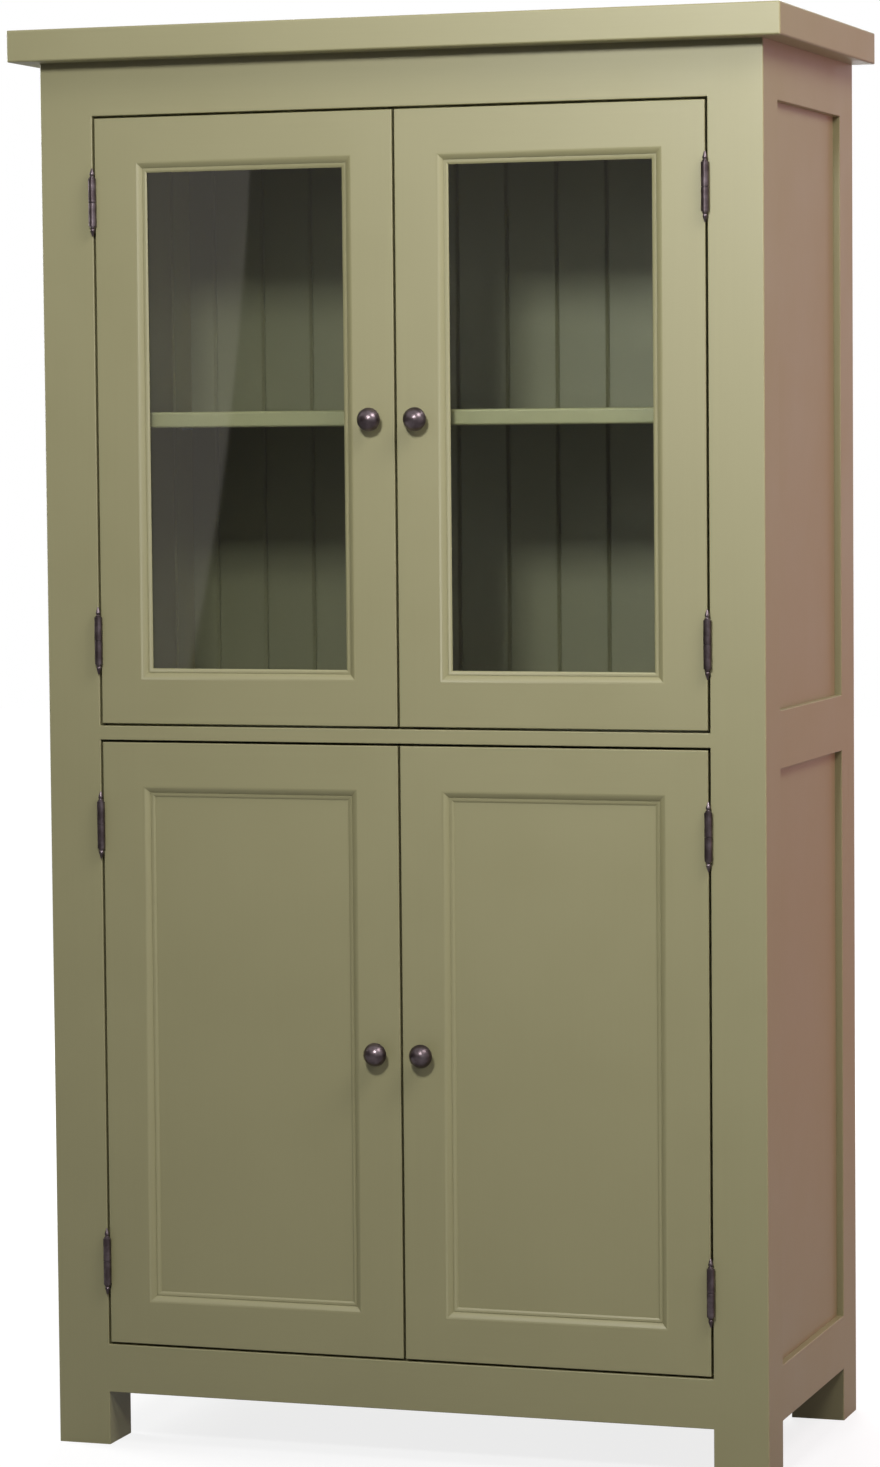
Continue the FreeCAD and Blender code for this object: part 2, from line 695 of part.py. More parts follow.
def door_stile(bay, xs, tenons, gains):
    """A door stile with its mortises, groove, hinge gains and eased arrises."""
    zs = (bay.bottom, bay.top)
    stile = carve(block(xs, (FRONT_Y, DOOR_BACK_Y), zs), tenons + door_groove(bay) + gains)
    outer_x = xs[1] if gains else xs[0]
    into_x = LEFT if gains else RIGHT
    arrises = [upright_arris(outer_x, y, zs, into_x, into_y)
               for y, into_y in ((FRONT_Y, BACKWARD), (DOOR_BACK_Y, FORWARD))]
    arrises += [level_arris(xs, FRONT_Y, z, BACKWARD, into_z) for z, into_z in zip(zs, (UP, DOWN))]
    return [eased(stile, arrises, ARRIS_R)]


def door_hinge_stile(bay):
    high = bay.field[1]
    gains = [hinge_gain(DOOR_HINGE_X, -1, z) for z in bay.hinge_heights]
    return door_stile(bay, (high[0], DOOR_HINGE_X), door_tenons(bay)[0], gains)


def door_meeting_stile(bay):
    low = bay.field[0]
    stile = door_stile(bay, (DOOR_MEET_X, low[0]), door_tenons(bay)[1], [])
    through = hole(Vec(KNOB_X, FRONT_Y - OVERRUN, bay.knob_z), BACKWARD,
                   KNOB_BOLT_R + KNOB_BOLT_PLAY, DOOR_T + 2 * OVERRUN)
    return [carve(stile[0], [through])]


def door_rail(bay, at_top):
    """The top or bottom rail between the stiles, tenoned into both."""
    low, high = bay.field
    zs = (high[1], bay.top) if at_top else (bay.bottom, low[1])
    edge_z, into_z = (bay.top, DOWN) if at_top else (bay.bottom, UP)
    xs = (low[0], high[0])
    bar = carve(block(xs, (FRONT_Y, DOOR_BACK_Y), zs), door_groove(bay))
    bar = eased(bar, [level_arris(xs, FRONT_Y, edge_z, BACKWARD, into_z)], ARRIS_R)
    hinge, meeting = door_tenons(bay)
    index = 1 if at_top else 0
    return [fuse([bar, hinge[index], meeting[index]])]


def door_fill(bay):
    """The sheet of glass behind the moulding, or the panel in its groove."""
    front = FRONT_Y + MOULD_D
    if bay.glazed:
        return [door_field(bay, (front, front + GLASS_T), -GLASS_PLAY)]
    return [door_field(bay, (front, front + DOOR_PANEL_T), GROOVE_DEPTH - PANEL_PLAY)]


def level_arc(at, level, far):
    """An arc that is parallel to the door's face at one end, given as depth and width."""
    drop, run = far[0] - level[0], far[1] - level[1]
    chord = math.hypot(drop, run)
    depth = level[0] + chord * (chord - abs(run)) / (2 * drop)
    width = level[1] + math.copysign(chord, run) / 2
    return Part.Arc(at(*level), at(depth, width), at(*far)).toShape()


def moulding_section():
    """Section of the door moulding in the plane X = 0, as depth and width.

    Y runs from the door's face into the door, and Z from the frame's edge
    towards the middle of the field.
    """
    def at(depth, width):
        return Vec(0, FRONT_Y + depth, width)

    quirk = OVOLO_DROP + QUIRK_DROP
    bead_end = OVOLO_W + BEAD_W
    edge = MOULD_D - MOULD_EDGE
    crown = at(quirk - BEAD_RISE, OVOLO_W + BEAD_W / 2)
    edges = [level_arc(at, (0, 0), (OVOLO_DROP, OVOLO_W)),
             Part.makeLine(at(OVOLO_DROP, OVOLO_W), at(quirk, OVOLO_W)),
             Part.Arc(at(quirk, OVOLO_W), crown, at(quirk, bead_end)).toShape(),
             level_arc(at, (edge, MOULD_W), (quirk, bead_end))]
    corners = [at(edge, MOULD_W), at(MOULD_D, MOULD_W), at(MOULD_D, 0), at(0, 0)]
    edges += [Part.makeLine(p, q) for p, q in zip(corners, corners[1:])]
    return Part.Face(Part.Wire(edges))


def glazing_bead_section():
    """Section of the bead behind the glass, with one rounded arris."""
    glass_back = FRONT_Y + MOULD_D + GLASS_T
    round_y = DOOR_BACK_Y - GLAZING_BEAD_R
    round_z = GLAZING_BEAD_W - GLAZING_BEAD_R
    diagonal = GLAZING_BEAD_R * math.sqrt(0.5)
    start, end = Vec(0, round_y, GLAZING_BEAD_W), Vec(0, DOOR_BACK_Y, round_z)
    middle = Vec(0, round_y + diagonal, round_z + diagonal)
    corners = [end, Vec(0, DOOR_BACK_Y, 0), Vec(0, glass_back, 0), Vec(0, glass_back, GLAZING_BEAD_W), start]
    edges = [Part.Arc(start, middle, end).toShape()]
    edges += [Part.makeLine(p, q) for p, q in zip(corners, corners[1:])]
    return Part.Face(Part.Wire(edges))


def mitred_frame(bay, section, width):
    """Four lengths of a section, mitred round the hole in the door frame."""
    low, high = bay.field
    size_x, size_z = high[0] - low[0], high[1] - low[1]
    places = [low, (high[0], low[1]), high, (low[0], high[1])]
    corners = [Vec(x, 0, z) for x, z in places]
    strips = []
    for turn, corner in enumerate(corners):
        length = size_z if turn % 2 else size_x
        plan = [Vec(0, FRONT_Y - OVERRUN, 0), Vec(length, FRONT_Y - OVERRUN, 0),
                Vec(length - width, FRONT_Y - OVERRUN, width), Vec(width, FRONT_Y - OVERRUN, width)]
        strip = section.extrude(Vec(length, 0, 0)).common(prism(plan, Vec(0, DOOR_T + 2 * OVERRUN, 0)))
        strip.rotate(Vec(0, 0, 0), Vec(0, -1, 0), 90 * turn)
        strip.translate(corner)
        strips.append(strip)
    return strips


def door_moulding(bay):
    return mitred_frame(bay, moulding_section(), MOULD_W)


def glazing_beads(bay):
    return mitred_frame(bay, glazing_bead_section(), GLAZING_BEAD_W)


def knob(bay):
    """A turned mushroom knob and the bolt that holds it through the stile."""
    seat = Vec(KNOB_X, FRONT_Y, bay.knob_z)
    back = Vec(KNOB_X, DOOR_BACK_Y, bay.knob_z)
    shank = hole(back, FORWARD, KNOB_BOLT_R, DOOR_T + KNOB_BOLT_DEPTH)
    head = hole(back, BACKWARD, KNOB_BOLT_HEAD_R, KNOB_BOLT_HEAD_H)
    turning = turned(KNOB_SHARES, seat, FORWARD, KNOB_R, KNOB_PROJECTION)
    return [carve(turning, [shank]), fuse([shank, head])]


def door_nodes(bay):
    """Every node of the right door of a bay, by the end of its name."""
    nodes = {
        "hinge_stile": door_hinge_stile(bay),
        "meeting_stile": door_meeting_stile(bay),
        "top_rail": door_rail(bay, True),
        "bottom_rail": door_rail(bay, False),
        "glass" if bay.glazed else "panel": door_fill(bay),
        "moulding": door_moulding(bay),
        "knob": knob(bay),
        "hinge_leaves": door_hinge_leaves(bay),
        "strike_plate": strike_plate(bay),
    }
    if bay.glazed:
        nodes["glazing_beads"] = glazing_beads(bay)
    return nodes


def all_nodes():
    """Every node of the cupboard and its solids."""
    nodes = {
        "top_board": top_board(),
        "back_rails": back_rails(),
        "back_boards": back_boards(),
        "divider_board": [inner_board(UPPER_BOTTOM_Z, DIVIDER_T)],
        "floor_board": [inner_board(LOWER_BOTTOM_Z, FLOOR_T)],
        "shelves": [shelf(z) for z in (UPPER_SHELF_Z, LOWER_SHELF_Z)],
        "magnetic_catches": magnetic_catches(),
    }
    nodes.update({name: front_rail(name) for name in FRONT_RAIL_SPANS})
    sided = {"front_stile": front_stile(), "side_stiles": side_stiles(),
             "side_rails": side_rails(), "side_panels": side_panels()}
    for name, solids in sided.items():
        nodes["right_" + name] = solids
        nodes["left_" + name] = mirrored(solids)
    paired = {"foot_blocks": foot_blocks(), "board_cleats": board_cleats(),
              "shelf_pins": shelf_pins(), "hinge_frame_leaves": frame_hinge_leaves()}
    for name, solids in paired.items():
        nodes[name] = solids + mirrored(solids)
    for bay in (UPPER, LOWER):
        for name, solids in door_nodes(bay).items():
            nodes[f"{bay.name}_right_{name}"] = solids
            nodes[f"{bay.name}_left_{name}"] = mirrored(solids)
    return nodes


def main():
    os.makedirs("parts", exist_ok=True)
    for name, solids in sorted(all_nodes().items()):
        shape = solids[0] if len(solids) == 1 else Part.makeCompound(solids)
        shape.exportStep(os.path.join("parts", name + ".step"))
        volume = sum(s.Volume for s in solids)
        faults = [i for i, s in enumerate(solids) if not s.isValid() or s.Volume <= 0 or len(s.Solids) != 1]
        print(f"{name}: {len(solids)} solids, {volume:.0f} mm3", f"faults {faults}" if faults else "")


main()
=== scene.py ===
"""Looks of a painted kitchen cupboard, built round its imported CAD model.

The CAD nodes stay as the boards, rails and panels and get their finishes here.
Mouldings, knobs, hinges, catches and every small fastener are surfaces worked
out with numpy. The cupboard's pieces have their sizes in millimetres, and the
mesh functions turn them to metres. The studio round it is laid out in metres.
"""
import logging
import math
from dataclasses import dataclass, field
from enum import Enum
from typing import Iterable, Optional, Sequence

import bpy
import numpy as np
from mathutils import Matrix, Vector


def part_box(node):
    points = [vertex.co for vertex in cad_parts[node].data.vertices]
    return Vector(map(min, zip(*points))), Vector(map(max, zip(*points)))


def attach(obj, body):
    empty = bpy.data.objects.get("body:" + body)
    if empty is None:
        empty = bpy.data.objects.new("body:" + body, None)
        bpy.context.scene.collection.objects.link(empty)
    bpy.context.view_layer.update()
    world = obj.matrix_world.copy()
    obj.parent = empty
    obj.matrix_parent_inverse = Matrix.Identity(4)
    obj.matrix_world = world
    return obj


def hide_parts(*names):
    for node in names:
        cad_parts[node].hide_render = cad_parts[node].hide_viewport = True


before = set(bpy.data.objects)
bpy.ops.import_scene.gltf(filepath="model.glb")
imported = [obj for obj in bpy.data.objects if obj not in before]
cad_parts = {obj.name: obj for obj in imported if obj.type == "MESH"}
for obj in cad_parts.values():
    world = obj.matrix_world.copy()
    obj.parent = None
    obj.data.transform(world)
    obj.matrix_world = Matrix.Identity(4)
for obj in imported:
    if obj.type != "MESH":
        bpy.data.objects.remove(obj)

LOG = logging.getLogger("cupboard")
MM = 0.001
WHITE = (1, 1, 1, 1)
# Most values of a noise texture lie in this span, which a Map Range node stretches.
NOISE_SPAN = {"From Min": 0.3, "From Max": 0.7}
# A Mix node's two colours go into these inputs, and the mixed colour leaves by this output.
COLOUR_A, COLOUR_B, COLOUR_OUT = 6, 7, 2


class Grain(Enum):
    """The way a board's brush marks run."""

    ACROSS = "x"
    DEEP = "y"
    UPRIGHT = "z"


class Side(Enum):
    """A side of the cupboard; the value is the sign of X there."""

    LEFT = -1
    RIGHT = 1


# The heights of a pair of doors and of the seat of their catches, which face up or down.
DOOR_LEVELS = {
    "upper": {"bottom": 927.0, "top": 1689.0, "bottom_rail": 56.0, "catch_z": 924.0, "catch_up": 1},
    "lower": {"bottom": 133.0, "top": 903.0, "bottom_rail": 54.0, "catch_z": 906.0, "catch_up": -1}}


def linear(hex_colour: str) -> tuple[float, float, float, float]:
    """Turn an sRGB hex value such as #97926D to linear light.

    Args:
        hex_colour: Six hex digits after a hash.

    Returns:
        Red, green, blue and an alpha of 1, each channel by the sRGB curve:
        c / 12.92 in the toe, and ((c + 0.055) / 1.055) to the 2.4 above it.
    """
    values = [int(hex_colour[i:i + 2], 16) / 255 for i in (1, 3, 5)]
    red, green, blue = (c / 12.92 if c <= 0.04045 else ((c + 0.055) / 1.055) ** 2.4 for c in values)
    return red, green, blue, 1.0


def per_metre(size_mm: float) -> float:
    """The scale at which one wave of a pattern has a real size in millimetres."""
    return 1 / (size_mm * MM)


def add_node(tree: bpy.types.NodeTree, kind: str, links: Optional[dict] = None,
             inputs: Optional[dict] = None, **settings: object) -> bpy.types.Node:
    """Add a node with its settings, constants and incoming links.

    Args:
        tree: The node tree to add to.
        kind: The node's bl_idname.
        links: Input name or index to the output socket that feeds it.
        inputs: Input name or index to a constant.
        **settings: Attributes of the node itself.

    Returns:
        The new node.
    """
    node = tree.nodes.new(kind)
    for name, value in settings.items():
        setattr(node, name, value)
    for name, value in (inputs or {}).items():
        node.inputs[name].default_value = value
    for name, socket in (links or {}).items():
        tree.links.new(socket, node.inputs[name])
    return node


def new_tree(name: str) -> tuple[bpy.types.Material, bpy.types.NodeTree]:
    """Make a material whose node tree is empty.

    Args:
        name: The material's name.

    Returns:
        The material and its node tree.
    """
    material = bpy.data.materials.new(name)
    material.use_nodes = True
    material.node_tree.nodes.clear()
    return material, material.node_tree


@dataclass(frozen=True)
class SatinPaint:
    """Water-based satin paint, brushed on planed wood and laid off along it.

    It gives the eye an even colour with a broad soft sheen, faint marks along
    the last brush strokes, and a slight mottle where the film varies.
    """

    colour: str = "#969168"
    mottle: float = 0.02
    streak: float = 0.008
    roughness: float = 0.5
    roughness_swing: float = 0.04
    sheen_level: float = 1.0
    # Painted shade: faces in front of inside_y_mm, inside the cupboard, take this darker colour for the dim
    # light there.
    inside_shade_colour: str = "#747052"
    inside_y_mm: float = 245.5
    brush_mark_mm: float = 2.6
    mark_length_mm: float = 160.0
    mark_height_mm: float = 0.02
    mark_strength: float = 0.35
    mottle_mm: float = 130.0

    def material(self, grain: Grain, inside: bool = False) -> bpy.types.Material:
        """Build the paint for boards whose marks run one way.

        The real brush marks are about 0.4 mm apart; they are drawn coarser, so
        that they show.

        Args:
            grain: The way the brush marks run.
            inside: Give the faces inside the cupboard a darker colour, painted shade for the dim inside.

        Returns:
            The material.
        """
        material_stem = "painted_shade" if inside else "satin_paint"
        material, tree = new_tree(f"{material_stem}_on_wood_{grain.name.lower()}")
        place = add_node(tree, "ShaderNodeTexCoord").outputs["Object"]
        across, along = per_metre(self.brush_mark_mm), per_metre(self.mark_length_mm)
        scale = [along if axis == grain.value else across for axis in "xyz"]
        stretched = add_node(tree, "ShaderNodeMapping", {"Vector": place}, {"Scale": scale})
        marks = add_node(tree, "ShaderNodeTexNoise", {"Vector": stretched.outputs[0]},
                         {"Scale": 1.0, "Detail": 3.0, "Roughness": 0.6})
        film = add_node(tree, "ShaderNodeTexNoise", {"Vector": place},
                        {"Scale": per_metre(self.mottle_mm), "Detail": 4.0, "Roughness": 0.55})
        base = linear(self.colour)
        dark, pale = ([c * (1 + swing) for c in base[:3]] + [1.0] for swing in (-self.mottle, self.mottle))
        mottled = add_node(tree, "ShaderNodeMix", {0: film.outputs[0]}, {COLOUR_A: dark, COLOUR_B: pale},
                           data_type="RGBA")
        # Painted shade: where Y is under inside_y_mm, on the faces inside the cupboard, the darker colour
        # replaces the paint's own.
        if inside:
            split = add_node(tree, "ShaderNodeSeparateXYZ", {"Vector": place})
            in_painted_shade = add_node(tree, "ShaderNodeMath", {0: split.outputs["Y"]}, {1: self.inside_y_mm * MM},
                              operation="LESS_THAN")
            mottled = add_node(tree, "ShaderNodeMix",
                               {0: in_painted_shade.outputs[0], COLOUR_A: mottled.outputs[COLOUR_OUT]},
                               {COLOUR_B: linear(self.inside_shade_colour)}, data_type="RGBA")
        shade = add_node(tree, "ShaderNodeMapRange", {"Value": marks.outputs[0]},
                         {**NOISE_SPAN, "To Min": 1 - self.streak, "To Max": 1 + self.streak})
        colour = add_node(tree, "ShaderNodeVectorMath",
                          {0: mottled.outputs[COLOUR_OUT], 1: shade.outputs[0]}, operation="MULTIPLY")
        rough = add_node(tree, "ShaderNodeMapRange", {"Value": film.outputs[0]},
                         {**NOISE_SPAN, "To Min": self.roughness - self.roughness_swing,
                          "To Max": self.roughness + self.roughness_swing})
        bump = add_node(tree, "ShaderNodeBump", {"Height": marks.outputs[0]},
                        {"Strength": self.mark_strength, "Distance": self.mark_height_mm * MM})
        shader = add_node(tree, "ShaderNodeBsdfPrincipled",
                          {"Base Color": colour.outputs[0], "Roughness": rough.outputs[0],
                           "Normal": bump.outputs[0]}, {"IOR": 1.5, "Specular IOR Level": self.sheen_level})
        add_node(tree, "ShaderNodeOutputMaterial", {"Surface": shader.outputs[0]})
        return material


@dataclass(frozen=True)
class AgedBronze:
    """Cast and turned bronze, darkened with a patina and waxed.

    It gives a deep brown metal with a purplish cast, patches where handling
    has polished it, and a highlight that stays soft at its rim.
    """

    patina: str = "#4F4547"
    rubbed: str = "#776C70"
    waxed_roughness: float = 0.35
    rubbed_roughness: float = 0.28
    metallic: float = 0.95
    patch_mm: float = 16.0
    pit_mm: float = 0.7
    pit_depth_mm: float = 0.02
    pit_strength: float = 0.05

    def material(self) -> bpy.types.Material:
        """Build the bronze.

        Returns:
            The material.
        """
        material, tree = new_tree("aged_bronze")
        place = add_node(tree, "ShaderNodeTexCoord").outputs["Object"]
        patches = add_node(tree, "ShaderNodeTexNoise", {"Vector": place},
                           {"Scale": per_metre(self.patch_mm), "Detail": 3.0, "Roughness": 0.5})
        pits = add_node(tree, "ShaderNodeTexNoise", {"Vector": place},
                        {"Scale": per_metre(self.pit_mm), "Detail": 2.0})
        worn = add_node(tree, "ShaderNodeMapRange", {"Value": patches.outputs[0]},
                        {"From Min": 0.42, "From Max": 0.72})
        colour = add_node(tree, "ShaderNodeMix", {0: worn.outputs[0]},
                          {COLOUR_A: linear(self.patina), COLOUR_B: linear(self.rubbed)}, data_type="RGBA")
        rough = add_node(tree, "ShaderNodeMapRange", {"Value": patches.outputs[0]},
                         {"From Min": 0.35, "From Max": 0.7, "To Min": self.waxed_roughness,
                          "To Max": self.rubbed_roughness})
        bump = add_node(tree, "ShaderNodeBump", {"Height": pits.outputs[0]},
                        {"Strength": self.pit_strength, "Distance": self.pit_depth_mm * MM})
        shader = add_node(tree, "ShaderNodeBsdfPrincipled",
                          {"Base Color": colour.outputs[COLOUR_OUT], "Roughness": rough.outputs[0],
                           "Normal": bump.outputs[0]}, {"Metallic": self.metallic})
        add_node(tree, "ShaderNodeOutputMaterial", {"Surface": shader.outputs[0]})
        return material


@dataclass(frozen=True)
class FloatGlass:
    """Clear float glass, 4 mm, with a faint green cast from its iron.

    It gives a nearly clear pane with a mirror reflection of what stands in
    front. Rays from lamps pass straight through, so that the shelves are lit.
    """

    tint: str = "#F0F4F1"
    ripple_mm: float = 240.0
    ripple_height_mm: float = 0.4
    ripple_strength: float = 0.05

    def material(self) -> bpy.types.Material:
        """Build the glass.

        Returns:
            The material.
        """
        material, tree = new_tree("float_glass")
        place = add_node(tree, "ShaderNodeTexCoord").outputs["Object"]
        ripple = add_node(tree, "ShaderNodeTexNoise", {"Vector": place},
                          {"Scale": per_metre(self.ripple_mm), "Detail": 1.0})
        bump = add_node(tree, "ShaderNodeBump", {"Height": ripple.outputs[0]},
                        {"Strength": self.ripple_strength, "Distance": self.ripple_height_mm * MM})
        pane = add_node(tree, "ShaderNodeBsdfPrincipled", {"Normal": bump.outputs[0]},
                        {"Base Color": linear(self.tint), "Roughness": 0.0, "IOR": 1.5,
                         "Transmission Weight": 1.0})
        clear = add_node(tree, "ShaderNodeBsdfTransparent", inputs={"Color": linear(self.tint)})
        rays = add_node(tree, "ShaderNodeLightPath").outputs
        light = add_node(tree, "ShaderNodeMath", {0: rays["Is Shadow Ray"], 1: rays["Is Diffuse Ray"]},
                         operation="MAXIMUM")
        mixed = add_node(tree, "ShaderNodeMixShader",
                         {0: light.outputs[0], 1: pane.outputs[0], 2: clear.outputs[0]})
        add_node(tree, "ShaderNodeOutputMaterial", {"Surface": mixed.outputs[0]})
        return material


@dataclass(frozen=True)
class PlatedSteel:
    """Zinc-plated mild steel: pale grey, a little blue, with a dulled shine."""

    colour: str = "#A7AAAE"
    bright_roughness: float = 0.26
    dull_roughness: float = 0.44
    spangle_mm: float = 2.0

    def material(self) -> bpy.types.Material:
        """Build the plated steel.

        Returns:
            The material.
        """
        material, tree = new_tree("zinc_plated_steel")
        place = add_node(tree, "ShaderNodeTexCoord").outputs["Object"]
        spangle = add_node(tree, "ShaderNodeTexNoise", {"Vector": place},
                           {"Scale": per_metre(self.spangle_mm), "Detail": 3.0})
        rough = add_node(tree, "ShaderNodeMapRange", {"Value": spangle.outputs[0]},
                         {**NOISE_SPAN, "To Min": self.bright_roughness, "To Max": self.dull_roughness})
        shader = add_node(tree, "ShaderNodeBsdfPrincipled", {"Roughness": rough.outputs[0]},
                          {"Base Color": linear(self.colour), "Metallic": 1.0})
        add_node(tree, "ShaderNodeOutputMaterial", {"Surface": shader.outputs[0]})
        return material


@dataclass(frozen=True)
class MouldedPolymer:
    """Injection-moulded ABS, whose fine spark-eroded texture gives a soft sheen.

    The magnets' sintered ferrite, a near-black ceramic, is this with its own
    colour, roughness and finer texture.
    """

    name: str = "abs_moulded"
    colour: str = "#CFC9B8"
    roughness: float = 0.5
    texture_mm: float = 0.9
    roughness_swing: float = 0.05
    texture_depth_mm: float = 0.05
    texture_strength: float = 0.3

    def material(self) -> bpy.types.Material:
        """Build the plastic.

        Returns:
            The material.
        """
        material, tree = new_tree(self.name)
        place = add_node(tree, "ShaderNodeTexCoord").outputs["Object"]
        grain = add_node(tree, "ShaderNodeTexNoise", {"Vector": place},
                         {"Scale": per_metre(self.texture_mm), "Detail": 2.0})
        bump = add_node(tree, "ShaderNodeBump", {"Height": grain.outputs[0]},
                        {"Strength": self.texture_strength, "Distance": self.texture_depth_mm * MM})
        rough = add_node(tree, "ShaderNodeMapRange", {"Value": grain.outputs[0]},
                         {"To Min": self.roughness - self.roughness_swing,
                          "To Max": self.roughness + self.roughness_swing})
        shader = add_node(tree, "ShaderNodeBsdfPrincipled",
                          {"Normal": bump.outputs[0], "Roughness": rough.outputs[0]},
                          {"Base Color": linear(self.colour), "IOR": 1.53})
        add_node(tree, "ShaderNodeOutputMaterial", {"Surface": shader.outputs[0]})
        return material


@dataclass
class Palette:
    """One material of each finish, made once and shared."""

    paint: dict[Grain, bpy.types.Material] = field(default_factory=dict)
    # The paint whose faces inside the cupboard carry painted shade.
    inside: Optional[bpy.types.Material] = None
    bronze: Optional[bpy.types.Material] = None
    glass: Optional[bpy.types.Material] = None
    steel: Optional[bpy.types.Material] = None
    plastic: Optional[bpy.types.Material] = None
    ferrite: Optional[bpy.types.Material] = None

    def mix(self) -> "Palette":
        """Make every material.

        Returns:
            The palette itself.
        """
        satin = SatinPaint()
        self.paint = {grain: satin.material(grain) for grain in Grain}
        self.inside = satin.material(Grain.UPRIGHT, inside=True)
        self.bronze = AgedBronze().material()
        self.glass = FloatGlass().material()
        self.steel = PlatedSteel().material()
        self.plastic = MouldedPolymer().material()
        ferrite = MouldedPolymer(name="sintered_ferrite", colour="#3B3A3C", roughness=0.42, texture_mm=0.5)
        self.ferrite = ferrite.material()
        return self


def skin(name: str, points: np.ndarray, faces: Sequence, material: bpy.types.Material,
         crease_deg: float = 35.0) -> bpy.types.Object:
    """Put worked-out points and faces into a smooth mesh with sharp creases.

    Args:
        name: The piece's name.
        points: Vertices in metres, one row each.
        faces: Vertex numbers of each face.
        material: The piece's finish.
        crease_deg: Edges that turn by more than this stay sharp.

    Returns:
        The new object, at the origin.
    """
    mesh = bpy.data.meshes.new(name)
    mesh.from_pydata(np.asarray(points, float).tolist(), [], [list(map(int, f)) for f in faces])
    mesh.polygons.foreach_set("use_smooth", np.ones(len(mesh.polygons), bool))
    mesh.set_sharp_from_angle(angle=math.radians(crease_deg))
    mesh.materials.append(material)
    mesh.update()
    piece = bpy.data.objects.new(name, mesh)
    bpy.context.scene.collection.objects.link(piece)
    return piece


def ring_faces(rows: int, columns: int, close_rows: bool = False) -> np.ndarray:
    """Quads of a grid whose columns close round on themselves.

    Args:
        rows: Number of rows of points.
        columns: Number of points in each row.
        close_rows: Also join the last row to the first.

    Returns:
        Four vertex numbers for each quad: the point, its right neighbour, and
        the same two in the next row.
    """
    row, column = np.meshgrid(np.arange(rows if close_rows else rows - 1), np.arange(columns), indexing="ij")
    right, below = (column + 1) % columns, (row + 1) % rows
    here, there = row * columns, below * columns
    return np.stack([here + column, here + right, there + right, there + column], -1).reshape(-1, 4)


def fan(hub: int, rim: int, steps: int, backwards: bool = False) -> list:
    """Triangles from one point to a closed ring of points.

    Args:
        hub: Number of the one point.
        rim: Number of the ring's first point.
        steps: Points in the ring.
        backwards: Turn the triangles over.

    Returns:
        Three vertex numbers for each triangle.
    """
    turn = np.arange(steps)
    near, far = rim + turn, rim + (turn + 1) % steps
    if backwards:
        near, far = far, near
    return np.stack([np.full(steps, hub), near, far], -1).tolist()


def spokes_about(axis: Sequence[float], steps: int) -> tuple[np.ndarray, np.ndarray, np.ndarray]:
    """Unit vectors at even angles about an axis.

    The one at angle t is cos t u + sin t v, with u and v square to the axis.

    Args:
        axis: The direction of the axis.
        steps: The number of angles.

    Returns:
        The angles, the unit vectors, and the axis at unit length.
    """
    along = Vector(axis).normalized()
    across = along.orthogonal().normalized()
    third = along.cross(across)
    angle = np.linspace(0, 2 * math.pi, steps, endpoint=False)
    spokes = np.cos(angle)[:, None] * np.array(across) + np.sin(angle)[:, None] * np.array(third)
    return angle, spokes, np.array(along)


def arc(centre: tuple[float, float], radius: float, start_deg: float, end_deg: float,
        steps: int) -> np.ndarray:
    """Points on an arc: centre plus radius times cosine and sine of an even angle.

    Args:
        centre: The arc's centre.
        radius: Its radius.
        start_deg: The angle of its first point.
        end_deg: The angle of its last point.
        steps: The number of points.

    Returns:
        The points, one row each.
    """
    angles = np.radians(np.linspace(start_deg, end_deg, steps))
    return np.array(centre) + radius * np.stack([np.cos(angles), np.sin(angles)], -1)


def falling_arc(run: float, drop: float, start_deg: float, steps: int = 12) -> np.ndarray:
    """Points on an arc that falls as it runs, from a slope at its start.

    From the slope a it turns evenly to the slope b, which is twice the angle
    whose tangent is drop / run, less a. Its radius r is run / (sin b - sin a).
    Where the slope is t, the run is r (sin t - sin a) and the fall is
    r (cos a - cos t).

    Args:
        run: How far the arc goes across.
        drop: How far it goes down.
        start_deg: The slope at its start.
        steps: The number of points.

    Returns:
        The run and the fall of each point.
    """
    start = math.radians(start_deg)
    end = 2 * math.atan2(drop, run) - start
    turn = start + np.linspace(0, 1, steps) * (end - start)
    radius = run / (math.sin(end) - math.sin(start))
    return radius * np.stack([np.sin(turn) - math.sin(start), math.cos(start) - np.cos(turn)], -1)


def turned_points(outline: np.ndarray, centre: Sequence[float], axis: Sequence[float],
                  steps: int) -> tuple[np.ndarray, list]:
    """A surface of revolution: radius r and height h of the outline at angle t.

    A point is centre + r (cos t u + sin t v) + h w, with w along the axis and
    u, v square to it. The two ends close in fans on points of the axis.

    Args:
        outline: Radius and height of each point, in millimetres, from end to end.
        centre: Where height is zero, in millimetres.
        axis: The direction of height.
        steps: Points in each ring.

    Returns:
        The points, in metres, and the faces, which point outwards.
    """
    _, spokes, along = spokes_about(axis, steps)
    radius, height = (outline * MM).T
    grid = radius[:, None, None] * spokes + height[:, None, None] * along
    ends = height[[0, -1], None] * along
    points = np.vstack([grid.reshape(-1, 3), ends]) + np.array(centre) * MM
    hub = len(outline) * steps
    faces = ring_faces(len(outline), steps).tolist() + fan(hub, 0, steps, backwards=True)
    return points, faces + fan(hub + 1, hub - steps, steps)


def joined(parts: Iterable[tuple[np.ndarray, list]]) -> tuple[np.ndarray, list]:
    """Lay several meshes end to end as one.

    Args:
        parts: Points and faces of each mesh.

    Returns:
        The points and faces of them all.
    """
    points, faces, first = [], [], 0
    for own_points, own_faces in parts:
        points.append(own_points)
        faces += [[first + i for i in f] for f in own_faces]
        first += len(own_points)
    return np.vstack(points), faces


